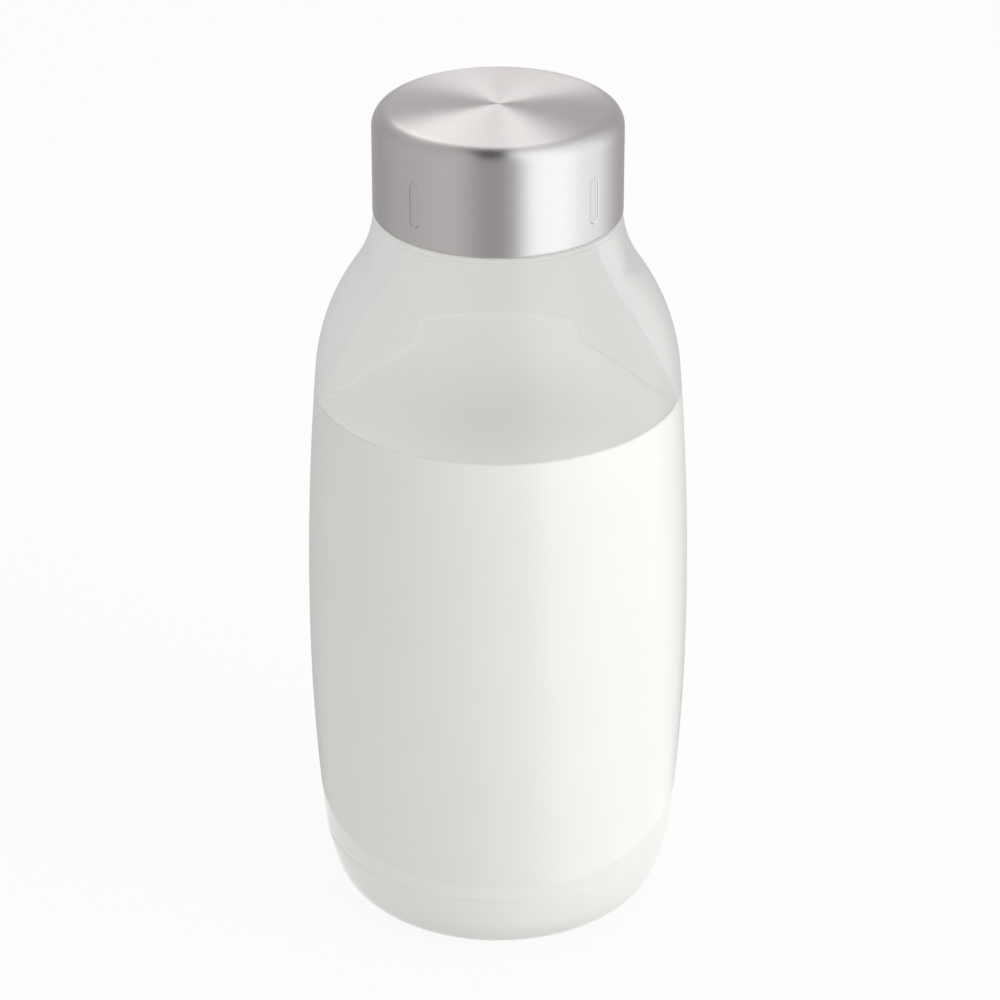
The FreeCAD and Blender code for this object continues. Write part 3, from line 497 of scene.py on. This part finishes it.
def slot_rows(profile, radius, span):
    """A straight side, with its rows close together at both ends of the slots."""
    plain_step, slot_end_step, slot_side_step = 0.9, 0.16, 1.0
    half = SLOT_WIDTH / 2 + SLOT_EDGE
    heights = [SLOT_LOW - half, SLOT_LOW, SLOT_HIGH, SLOT_HIGH + half]
    if span[1] < span[0]:
        heights.reverse()
    steps = [plain_step, slot_end_step, slot_side_step, slot_end_step, plain_step]
    for height, step in zip(heights + [span[1]], steps):
        profile.line((radius, height), step)


def liner_profile():
    """The liner: a cup that fits the shell, from the ring's seat down the threaded side and up outside."""
    edge_curve = CAP_ROUND - SHEET - LINER_FIT
    foot_curve = HEM_ROUND - SHEET - LINER_FIT
    edge = (LINER_RADIUS - edge_curve, LINER_CEILING - edge_curve)
    foot = (LINER_RADIUS - foot_curve, LINER_FOOT + foot_curve)
    soft = MOULDED_EDGE
    seat_edge = 1
    seat_corner = (LINER_BORE - soft, RING_CEILING - soft)
    profile = Profile((0.0, RING_CEILING))
    profile.line((LINER_BORE - seat_edge, RING_CEILING), step=3.0)
    profile.line((seat_corner[0], RING_CEILING), step=0.4)
    profile.arc(seat_corner, (LINER_BORE, seat_corner[1]), step=0.16, hollow=True)
    profile.line((LINER_BORE, LINER_FOOT + soft), step=0.3)
    profile.arc((LINER_BORE + soft, LINER_FOOT + soft), (LINER_BORE + soft, LINER_FOOT), step=0.16)
    profile.line((foot[0], LINER_FOOT), step=0.5)
    profile.arc(foot, (LINER_RADIUS, foot[1]), step=0.2)
    profile.line((LINER_RADIUS, edge[1]), step=0.6)
    profile.arc(edge, (edge[0], LINER_CEILING), step=0.5)
    profile.line((0.0, LINER_CEILING), step=3.0)
    return profile.points


def ring_profile():
    """The sealing ring: a flat ring with soft edges."""
    inside, outside = BORE_RADIUS - RING_REACH, LINER_BORE - RING_GAP
    soft = MOULDED_EDGE
    profile = Profile((inside + soft, RIM_HEIGHT))
    profile.line((outside - soft, RIM_HEIGHT), step=0.6)
    profile.arc((outside - soft, RIM_HEIGHT + soft), (outside, RIM_HEIGHT + soft), step=0.12)
    profile.line((outside, RING_CEILING - soft), step=0.4)
    profile.arc((outside - soft, RING_CEILING - soft), (outside - soft, RING_CEILING), step=0.12)
    profile.line((inside + soft, RING_CEILING), step=0.6)
    profile.arc((inside + soft, RING_CEILING - soft), (inside, RING_CEILING - soft), step=0.12)
    profile.line((inside, RIM_HEIGHT + soft), step=0.4)
    profile.arc((inside + soft, RIM_HEIGHT + soft), (inside + soft, RIM_HEIGHT), step=0.12)
    return profile.points[:-1]


# Forms that follow a rule.


def open_tree(name, sizes):
    """A geometry tree with its named inputs, and the node that gives them."""
    tree = bpy.data.node_groups.new(name, "GeometryNodeTree")
    tree.interface.new_socket("Geometry", in_out="INPUT", socket_type="NodeSocketGeometry")
    for size, kind in sizes:
        tree.interface.new_socket(size, in_out="INPUT", socket_type="NodeSocket" + kind)
    tree.interface.new_socket("Material", in_out="INPUT", socket_type="NodeSocketMaterial")
    tree.interface.new_socket("Geometry", in_out="OUTPUT", socket_type="NodeSocketGeometry")
    return tree, node(tree, "NodeGroupInput").outputs


def close_tree(tree, given, form):
    """Ends a tree with real, smooth faces in the piece's material."""
    real = node(tree, "GeometryNodeRealizeInstances", {"Geometry": form})
    smooth = node(tree, "GeometryNodeSetShadeSmooth", {"Geometry": real})
    dressed = node(tree, "GeometryNodeSetMaterial", {"Geometry": smooth, "Material": given["Material"]})
    node(tree, "NodeGroupOutput", {"Geometry": dressed})
    return tree


def turned_form():
    """Turns a profile round the axis. The upright rows of faces can be gathered towards even angles."""
    weld_reach = 0.002 * MM
    tree, given = open_tree("turned_form", [
        ("Profile", "Object"), ("Hub", "Float"), ("Segments", "Int"),
        ("Gathers", "Int"), ("Gather share", "Float"), ("First gather", "Float")])
    section = node(tree, "GeometryNodeObjectInfo", {"Object": given["Profile"]})
    circle = node(tree, "GeometryNodeCurvePrimitiveCircle", {
        "Resolution": given["Segments"], "Radius": given["Hub"]})
    swept = node(tree, "GeometryNodeCurveToMesh", {
        "Curve": circle, "Profile Curve": section.outputs["Geometry"]})
    closed = node(tree, "GeometryNodeMergeByDistance", {"Geometry": swept, "Distance": weld_reach})

    place = node(tree, "ShaderNodeSeparateXYZ", {"Vector": node(tree, "GeometryNodeInputPosition")}).outputs
    level = node(tree, "ShaderNodeCombineXYZ", {"X": place["X"], "Y": place["Y"]})
    radius = node(tree, "ShaderNodeVectorMath", {0: level}, operation="LENGTH").outputs["Value"]
    angle = node(tree, "ShaderNodeMath", {0: place["Y"], 1: place["X"]}, operation="ARCTAN2")
    from_gather = node(tree, "ShaderNodeMath", {0: angle, 1: given["First gather"]}, operation="SUBTRACT")
    phase = node(tree, "ShaderNodeMath", {0: from_gather, 1: given["Gathers"]}, operation="MULTIPLY")
    swing = node(tree, "ShaderNodeMath", {
        0: node(tree, "ShaderNodeMath", {0: phase}, operation="SINE"), 1: given["Gather share"]},
        operation="MULTIPLY")
    shift = node(tree, "ShaderNodeMath", {0: swing, 1: given["Gathers"]}, operation="DIVIDE")
    turned = node(tree, "ShaderNodeMath", {0: angle, 1: shift}, operation="SUBTRACT")
    cosine = node(tree, "ShaderNodeMath", {0: turned}, operation="COSINE")
    sine = node(tree, "ShaderNodeMath", {0: turned}, operation="SINE")
    moved = node(tree, "ShaderNodeCombineXYZ", {
        "X": node(tree, "ShaderNodeMath", {0: radius, 1: cosine}, operation="MULTIPLY"),
        "Y": node(tree, "ShaderNodeMath", {0: radius, 1: sine}, operation="MULTIPLY"),
        "Z": place["Z"]})
    gathered = node(tree, "GeometryNodeSetPosition", {"Geometry": closed, "Position": moved})
    return close_tree(tree, given, gathered)


def thread_relief():
    """Raises several equal threads on a straight round wall, outwards, or inwards where the height is
    negative. Seen from above, each one climbs anticlockwise. It fades in and out at its ends."""
    foot_share, crest_share = 0.56, 0.16
    wall_reach = 0.05 * MM
    tree, given = open_tree("thread_relief", [
        ("Starts", "Int"), ("Lead", "Float"), ("Turns", "Float"), ("Foot", "Float"), ("First start", "Float"),
        ("Width", "Float"), ("Height", "Float"), ("Wall radius", "Float"), ("Fade", "Float")])
    place = node(tree, "ShaderNodeSeparateXYZ", {"Vector": node(tree, "GeometryNodeInputPosition")}).outputs
    level = node(tree, "ShaderNodeCombineXYZ", {"X": place["X"], "Y": place["Y"]})
    outward = node(tree, "ShaderNodeVectorMath", {0: level}, operation="NORMALIZE")
    radius = node(tree, "ShaderNodeVectorMath", {0: level}, operation="LENGTH").outputs["Value"]
    angle = node(tree, "ShaderNodeMath", {0: place["Y"], 1: place["X"]}, operation="ARCTAN2")
    from_start = node(tree, "ShaderNodeMath", {0: angle, 1: given["First start"]}, operation="SUBTRACT")
    turns = node(tree, "ShaderNodeMath", {0: from_start, 1: 2 * math.pi}, operation="DIVIDE")
    starts = node(tree, "ShaderNodeMath", {0: turns, 1: given["Starts"]}, operation="MULTIPLY")
    passed = node(tree, "ShaderNodeMath", {0: starts}, operation="FRACT")
    outer_edge = node(tree, "ShaderNodeMath", {0: given["Width"], 1: foot_share}, operation="MULTIPLY")
    crest_edge = node(tree, "ShaderNodeMath", {0: given["Width"], 1: crest_share}, operation="MULTIPLY")
    fade_out = node(tree, "ShaderNodeMath", {0: given["Turns"], 1: given["Fade"]}, operation="SUBTRACT")

    # A wall point can lie beside two threads: the one that started last and the one before it.
    heights = []
    for earlier in (0, 1):
        stretch = node(tree, "ShaderNodeMath", {
            0: node(tree, "ShaderNodeMath", {0: passed, 1: earlier}, operation="ADD"), 1: given["Starts"]},
            operation="DIVIDE")
        climbed = node(tree, "ShaderNodeMath", {0: stretch, 1: given["Lead"], 2: given["Foot"]},
                       operation="MULTIPLY_ADD")
        beside = node(tree, "ShaderNodeMath", {
            0: node(tree, "ShaderNodeMath", {0: place["Z"], 1: climbed}, operation="SUBTRACT")},
            operation="ABSOLUTE")
        section = node(tree, "ShaderNodeMapRange", {
            "Value": beside, "From Min": outer_edge, "From Max": crest_edge}, interpolation_type="SMOOTHSTEP")
        rise = node(tree, "ShaderNodeMapRange", {
            "Value": stretch, "From Max": given["Fade"]}, interpolation_type="SMOOTHSTEP")
        fall = node(tree, "ShaderNodeMapRange", {
            "Value": stretch, "From Min": given["Turns"], "From Max": fade_out},
            interpolation_type="SMOOTHSTEP")
        ends = node(tree, "ShaderNodeMath", {0: rise, 1: fall}, operation="MULTIPLY")
        heights.append(node(tree, "ShaderNodeMath", {0: section, 1: ends}, operation="MULTIPLY"))
    relief = node(tree, "ShaderNodeMath", {0: heights[0], 1: heights[1]}, operation="MAXIMUM")
    on_wall = node(tree, "ShaderNodeMath", {
        0: radius, 1: given["Wall radius"], 2: wall_reach}, operation="COMPARE")
    amount = node(tree, "ShaderNodeMath", {
        0: node(tree, "ShaderNodeMath", {0: relief, 1: on_wall}, operation="MULTIPLY"), 1: given["Height"]},
        operation="MULTIPLY")
    offset = node(tree, "ShaderNodeVectorMath", {0: outward, "Scale": amount}, operation="SCALE")
    raised = node(tree, "GeometryNodeSetPosition", {"Geometry": given["Geometry"], "Offset": offset})
    return close_tree(tree, given, raised)


def slot_relief():
    """Presses upright round-ended slots into a round wall, evenly spaced, where it is wider than the core."""
    tree, given = open_tree("slot_relief", [
        ("Count", "Int"), ("First slot", "Float"), ("Radius", "Float"), ("Half width", "Float"),
        ("Low centre", "Float"), ("High centre", "Float"), ("Depth", "Float"), ("Edge", "Float"),
        ("Core", "Float")])
    place = node(tree, "ShaderNodeSeparateXYZ", {"Vector": node(tree, "GeometryNodeInputPosition")}).outputs
    level = node(tree, "ShaderNodeCombineXYZ", {"X": place["X"], "Y": place["Y"]})
    inward = node(tree, "ShaderNodeVectorMath", {
        0: node(tree, "ShaderNodeVectorMath", {0: level}, operation="NORMALIZE"), "Scale": -1.0},
        operation="SCALE")
    radius = node(tree, "ShaderNodeVectorMath", {0: level}, operation="LENGTH").outputs["Value"]
    angle = node(tree, "ShaderNodeMath", {0: place["Y"], 1: place["X"]}, operation="ARCTAN2")
    from_slot = node(tree, "ShaderNodeMath", {0: angle, 1: given["First slot"]}, operation="SUBTRACT")
    half_cell = node(tree, "ShaderNodeMath", {0: math.pi, 1: given["Count"]}, operation="DIVIDE")
    cell_start = node(tree, "ShaderNodeMath", {0: half_cell, 1: -1.0}, operation="MULTIPLY")
    near = node(tree, "ShaderNodeMath", {0: from_slot, 1: half_cell, 2: cell_start}, operation="WRAP")
    sideways = node(tree, "ShaderNodeMath", {0: near, 1: given["Radius"]}, operation="MULTIPLY")
    middle = node(tree, "ShaderNodeClamp", {
        "Value": place["Z"], "Min": given["Low centre"], "Max": given["High centre"]})
    upright = node(tree, "ShaderNodeMath", {0: place["Z"], 1: middle}, operation="SUBTRACT")
    reach = node(tree, "ShaderNodeVectorMath", {
        0: node(tree, "ShaderNodeCombineXYZ", {"X": sideways, "Y": upright})},
        operation="LENGTH").outputs["Value"]
    past_edge = node(tree, "ShaderNodeMath", {0: reach, 1: given["Half width"]}, operation="SUBTRACT")
    half_edge = node(tree, "ShaderNodeMath", {0: given["Edge"], 1: 0.5}, operation="MULTIPLY")
    floor_edge = node(tree, "ShaderNodeMath", {0: given["Edge"], 1: -0.5}, operation="MULTIPLY")
    pressed = node(tree, "ShaderNodeMapRange", {
        "Value": past_edge, "From Min": half_edge, "From Max": floor_edge, "To Max": given["Depth"]},
        interpolation_type="SMOOTHSTEP")
    outside = node(tree, "ShaderNodeMath", {0: radius, 1: given["Core"]}, operation="GREATER_THAN")
    amount = node(tree, "ShaderNodeMath", {0: pressed, 1: outside}, operation="MULTIPLY")
    offset = node(tree, "ShaderNodeVectorMath", {0: inward, "Scale": amount}, operation="SCALE")
    sunk = node(tree, "GeometryNodeSetPosition", {"Geometry": given["Geometry"], "Offset": offset})
    return close_tree(tree, given, sunk)


def shape(work, tree, sizes):
    """Puts a tree on a work piece, each size on its own input. Lengths are in metres."""
    modifier = work.modifiers.new(tree.name, "NODES")
    modifier.node_group = tree
    for item in tree.interface.items_tree:
        if item.item_type == "SOCKET" and item.in_out == "INPUT" and item.name in sizes:
            modifier[item.identifier] = sizes[item.name]


def make_piece(name, points, segments, material, reliefs=(), closed=False, gathers=None):
    """Turns a profile, presses or raises its reliefs, and keeps the result as a plain mesh."""
    hub = max(radius for radius, height in points)
    curve = bpy.data.curves.new(name + "_profile", "CURVE")
    curve.dimensions = "3D"
    spline = curve.splines.new("POLY")
    spline.points.add(len(points) - 1)
    for point, (radius, height) in zip(spline.points, reversed(points)):
        point.co = ((radius - hub) * MM, -height * MM, 0.0, 1.0)
    spline.use_cyclic_u = closed
    section = bpy.data.objects.new(name + "_profile", curve)
    work = bpy.data.objects.new(name + "_work", bpy.data.meshes.new(name + "_work"))
    for item in (section, work):
        bpy.context.scene.collection.objects.link(item)

    shape(work, TURNED_FORM, {
        "Profile": section, "Hub": hub * MM, "Segments": segments, "Material": material,
        "Gathers": 1, "Gather share": 0.0, "First gather": 0.0, **(gathers or {})})
    for tree, sizes in reliefs:
        shape(work, tree, {**sizes, "Material": material})
    evaluated = work.evaluated_get(bpy.context.evaluated_depsgraph_get())
    mesh = bpy.data.meshes.new_from_object(evaluated)
    work.modifiers.clear()
    bpy.data.objects.remove(work)
    bpy.data.objects.remove(section)

    mesh.name = name
    piece = bpy.data.objects.new(name, mesh)
    bpy.context.scene.collection.objects.link(piece)
    return piece


TURNED_FORM = turned_form()
THREAD_RELIEF = thread_relief()
SLOT_RELIEF = slot_relief()

SMOOTH_SEGMENTS = 168
CAP_SEGMENTS = 440
CAP_GATHER_SHARE = 0.86
FIRST_SLOT = FRONT + math.radians(SLOT_TURN)

neck_threads = (THREAD_RELIEF, {
    "Starts": THREAD_STARTS, "Lead": THREAD_LEAD * MM, "Turns": GLASS_THREAD_TURNS, "Foot": THREAD_FOOT * MM,
    "First start": 0.0, "Width": GLASS_THREAD_WIDTH * MM, "Height": THREAD_HEIGHT * MM,
    "Wall radius": FINISH_RADIUS * MM, "Fade": GLASS_THREAD_FADE})
liner_threads = (THREAD_RELIEF, {
    "Starts": THREAD_STARTS, "Lead": THREAD_LEAD * MM, "Turns": LINER_THREAD_TURNS,
    "Foot": LINER_THREAD_FOOT * MM, "First start": math.radians(SLOT_TURN),
    "Width": LINER_THREAD_WIDTH * MM, "Height": -(LINER_BORE - FINISH_RADIUS - THREAD_GAP) * MM,
    "Wall radius": LINER_BORE * MM, "Fade": LINER_THREAD_FADE})
cap_slots = (SLOT_RELIEF, {
    "Count": SLOT_COUNT, "First slot": FIRST_SLOT, "Radius": CAP_RADIUS * MM,
    "Half width": SLOT_WIDTH / 2 * MM, "Low centre": SLOT_LOW * MM, "High centre": SLOT_HIGH * MM,
    "Depth": SLOT_DEPTH * MM, "Edge": SLOT_EDGE * MM, "Core": 0.0})
liner_keyways = (SLOT_RELIEF, {
    "Count": SLOT_COUNT, "First slot": FIRST_SLOT, "Radius": LINER_RADIUS * MM,
    "Half width": (SLOT_WIDTH / 2 + SHEET + LINER_FIT) * MM, "Low centre": SLOT_LOW * MM,
    "High centre": CAP_CEILING * MM, "Depth": SLOT_DEPTH * MM, "Edge": SLOT_EDGE * MM,
    "Core": (LINER_BORE + LINER_WALL / 2) * MM})

blown_bottle = make_piece(
    "blown_bottle", bottle_profile(), SMOOTH_SEGMENTS, blown_flint_glass(), [neck_threads])
milk_fill = make_piece("milk_fill", milk_profile(), SMOOTH_SEGMENTS, whole_milk())
spun_cap = make_piece(
    "spun_cap", shell_profile(), CAP_SEGMENTS, brushed_stainless_steel(), [cap_slots],
    gathers={"Gathers": SLOT_COUNT, "Gather share": CAP_GATHER_SHARE, "First gather": FIRST_SLOT})
threaded_liner = make_piece(
    "threaded_liner", liner_profile(), SMOOTH_SEGMENTS, moulded_polypropylene(),
    [liner_keyways, liner_threads])
sealing_ring = make_piece("sealing_ring", ring_profile(), SMOOTH_SEGMENTS, moulded_silicone(), closed=True)

for piece, body, cad_node, finish in [
        (blown_bottle, "bottle", "glass_bottle", "clear_glass"),
        (milk_fill, "bottle", "milk", "milk"),
        (spun_cap, "cap", "cap_shell", "brushed_steel"),
        (threaded_liner, "cap", "thread_insert", "liner_plastic"),
        (sealing_ring, "seal", "gasket", "silicone")]:
    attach(piece, body)
    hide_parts(cad_node)


# Stage, light and camera.


def seen_as_background(tree):
    """One for rays from the camera and those that metal and glass send on, nought for light that spreads."""
    rays = node(tree, "ShaderNodeLightPath").outputs
    sharp = node(tree, "ShaderNodeMath", {
        0: rays["Is Glossy Ray"], 1: rays["Is Transmission Ray"]}, operation="MAXIMUM")
    return node(tree, "ShaderNodeMath", {0: rays["Is Camera Ray"], 1: sharp}, operation="MAXIMUM")


def pale_floor():
    """A plain pale floor. Eyes, metal and glass see it as white, and it keeps a little of the shadow."""
    shadow_share = 0.1
    material, tree = blank_material("pale_floor")
    share = node(tree, "ShaderNodeMath", {
        0: seen_as_background(tree), 1: 1 - shadow_share}, operation="MULTIPLY")
    matt = node(tree, "ShaderNodeBsdfDiffuse", {"Color": linear("#f2f2f2")})
    white = node(tree, "ShaderNodeEmission", {"Color": linear("#ffffff"), "Strength": 1.0})
    mixed = node(tree, "ShaderNodeMixShader", {0: share, 1: matt, 2: white})
    node(tree, "ShaderNodeOutputMaterial", {"Surface": mixed})
    half = 4.0
    corners = [(-half, -half, 0), (half, -half, 0), (half, half, 0), (-half, half, 0)]
    mesh = bpy.data.meshes.new("floor")
    mesh.from_pydata(corners, [], [(0, 1, 2, 3)])
    mesh.materials.append(material)
    floor = bpy.data.objects.new("floor", mesh)
    bpy.context.scene.collection.objects.link(floor)
    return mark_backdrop(floor)


def studio_surround():
    """The grey room round the set, white where it is seen as the background."""
    world = bpy.data.worlds.new("studio")
    bpy.context.scene.world = world
    world.use_nodes = True
    tree = world.node_tree
    tree.nodes.clear()
    tone = node(tree, "ShaderNodeMix", {
        "Factor": seen_as_background(tree), "A": linear("#d9d9d9"), "B": linear("#ffffff")}, data_type="RGBA")
    room = node(tree, "ShaderNodeBackground", {"Color": tone.outputs["Result"], "Strength": 1.0})
    node(tree, "ShaderNodeOutputWorld", {"Surface": room})


def reflector(name, corners, faces, material, through_glass=False):
    """Puts up a sheet on the stage that shows only in shiny surfaces, or only through glass."""
    mesh = bpy.data.meshes.new(name)
    mesh.from_pydata(corners, [], faces)
    mesh.materials.append(material)
    sheet = bpy.data.objects.new(name, mesh)
    sheet.visible_camera = False
    sheet.visible_diffuse = False
    sheet.visible_shadow = False
    sheet.visible_glossy = not through_glass
    sheet.visible_transmission = through_glass
    bpy.context.scene.collection.objects.link(sheet)
    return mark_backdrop(sheet)


def lit_sheet(name, tone, strength):
    """A sheet lit evenly from behind."""
    material, tree = blank_material(name)
    glow = node(tree, "ShaderNodeEmission", {"Color": linear(tone), "Strength": strength})
    node(tree, "ShaderNodeOutputMaterial", {"Surface": glow})
    return material


def lit_tent(name, tones, mean_tone, strength):
    """Tent cloth lit from behind, whose tone changes round the set. Angles run from the front to the right.
    Light that has bounced about in the glass shows it in one mean tone."""
    material, tree = blank_material(name)
    place = node(tree, "ShaderNodeSeparateXYZ", {
        "Vector": node(tree, "ShaderNodeTexCoord").outputs["Object"]}).outputs
    forward = node(tree, "ShaderNodeMath", {0: place["Y"], 1: -1.0}, operation="MULTIPLY")
    angle = node(tree, "ShaderNodeMath", {0: place["X"], 1: forward}, operation="ARCTAN2")
    share = node(tree, "ShaderNodeMapRange", {"Value": angle, "From Min": -math.pi, "From Max": math.pi})
    ramp = node(tree, "ShaderNodeValToRGB", {"Fac": share})
    stops = ramp.color_ramp.elements
    stops[0].color, stops[1].color = linear(tones[0][1]), linear(tones[-1][1])
    for degrees, tone in tones[1:-1]:
        stops.new(degrees / 360 + 0.5).color = linear(tone)
    cloth = node(tree, "ShaderNodeMix", {
        "Factor": bounced_about(tree), "A": ramp.outputs["Color"], "B": linear(mean_tone)}, data_type="RGBA")
    glow = node(tree, "ShaderNodeEmission", {"Color": cloth.outputs["Result"], "Strength": strength})
    node(tree, "ShaderNodeOutputMaterial", {"Surface": glow})
    return material


def studio_tents():
    """Two tents round the set. Steel reflects the first one: grey on the left, dark in front, white on the
    right and grey at the back. Clear glass shows the second one, which is pale grey."""
    rings = [(0.07, 0.002), (0.45, 0.002), (0.47, 0.25), (0.42, 0.55), (0.28, 0.8), (0.02, 0.95)]
    count = 96
    corners = [
        (radius * math.cos(math.tau * step / count), radius * math.sin(math.tau * step / count), height)
        for radius, height in rings for step in range(count)]
    faces = [
        (row * count + step, row * count + (step + 1) % count,
         (row + 1) * count + (step + 1) % count, (row + 1) * count + step)
        for row in range(len(rings) - 1) for step in range(count)]
    reflected = [
        (-180, "#9b9b9b"), (-130, "#8e8e8e"), (-104, "#a0a0a0"), (-40, "#aeaeae"), (-10, "#8b8b8b"),
        (4, "#8e8e8e"), (14, "#a0a0a0"), (31, "#f0f6f7"), (60, "#f6fcfd"), (84, "#dde3e4"), (100, "#dde2e3"),
        (122, "#b0b0b0"), (138, "#959595"), (180, "#9b9b9b")]
    seen_through = [
        (-180, "#d6d6d4"), (-140, "#d6d6d5"), (-100, "#d0d2d3"), (0, "#d8d8d6"), (100, "#d8dadb"),
        (140, "#e8e8e6"), (180, "#d6d6d4")]
    bright_cloth = lit_tent("reflected_tent", reflected, mean_tone="#a9aaa9", strength=1.72)
    pale_cloth = lit_tent("pale_tent", seen_through, mean_tone="#dbdddb", strength=1.0)
    reflector("reflected_tent", corners, faces, bright_cloth)
    reflector("pale_tent", corners, faces, pale_cloth, through_glass=True)


def studio_cards():
    """A bright sheet over the back for the spun top to reflect, and a dark one over the camera."""
    back_light = [(-0.13, 0.36, 0.43), (0.05, 0.36, 0.43), (0.05, 0.27, 0.52), (-0.13, 0.27, 0.52)]
    reflector("back_light", back_light, [(0, 1, 2, 3)], lit_sheet("back_light", "#ffffff", strength=3.1))
    lens_shade = [(-0.10, 0.12, 0.6), (0.035, 0.12, 0.6), (0.035, -0.3, 0.6), (-0.10, -0.3, 0.6)]
    reflector("lens_shade", lens_shade, [(0, 1, 2, 3)], lit_sheet("lens_shade", "#141414", strength=1.0))


def softbox(name, place, aim, width, height, watts, tone="#ffffff"):
    """A soft square light at a place, turned to the point that it lights. Shiny surfaces see the tent."""
    lamp = bpy.data.lights.new(name, "AREA")
    lamp.shape = "RECTANGLE"
    lamp.size = width
    lamp.size_y = height
    lamp.energy = watts
    lamp.color = linear(tone)[:3]
    box = bpy.data.objects.new(name, lamp)
    box.visible_glossy = False
    box.location = place
    box.rotation_euler = (Vector(aim) - Vector(place)).to_track_quat("-Z", "Y").to_euler()
    bpy.context.scene.collection.objects.link(box)


def viewing_camera():
    """The camera: in front, a little over a metre away, looking down on the bottle."""
    data = bpy.data.cameras.new("camera")
    data.lens = 150.25
    data.sensor_width = 36.0
    data.shift_x = 0.002
    camera = bpy.data.objects.new("camera", data)
    place, aim = Vector((0.0, -0.9839, 0.6064)), Vector((0.0, 0.0, 0.1145))
    camera.location = place
    camera.rotation_euler = (aim - place).to_track_quat("-Z", "Y").to_euler()
    bpy.context.scene.collection.objects.link(camera)
    bpy.context.scene.camera = camera


pale_floor()
studio_surround()
studio_tents()
studio_cards()
softbox("key", (0.88, -0.52, 0.6), aim=(0.0, 0.0, 0.12), width=0.9, height=1.1, watts=6.2, tone="#f7faff")
softbox("back_fill", (-0.1, 0.9, 0.5), aim=(0.0, 0.0, 0.15), width=0.8, height=0.5, watts=0.3)
softbox("overhead", (0.0, 0.25, 1.1), aim=(0.0, 0.0, 0.2), width=0.7, height=0.7, watts=1.0)
viewing_camera()

bpy.context.scene.view_settings.view_transform = "Standard"
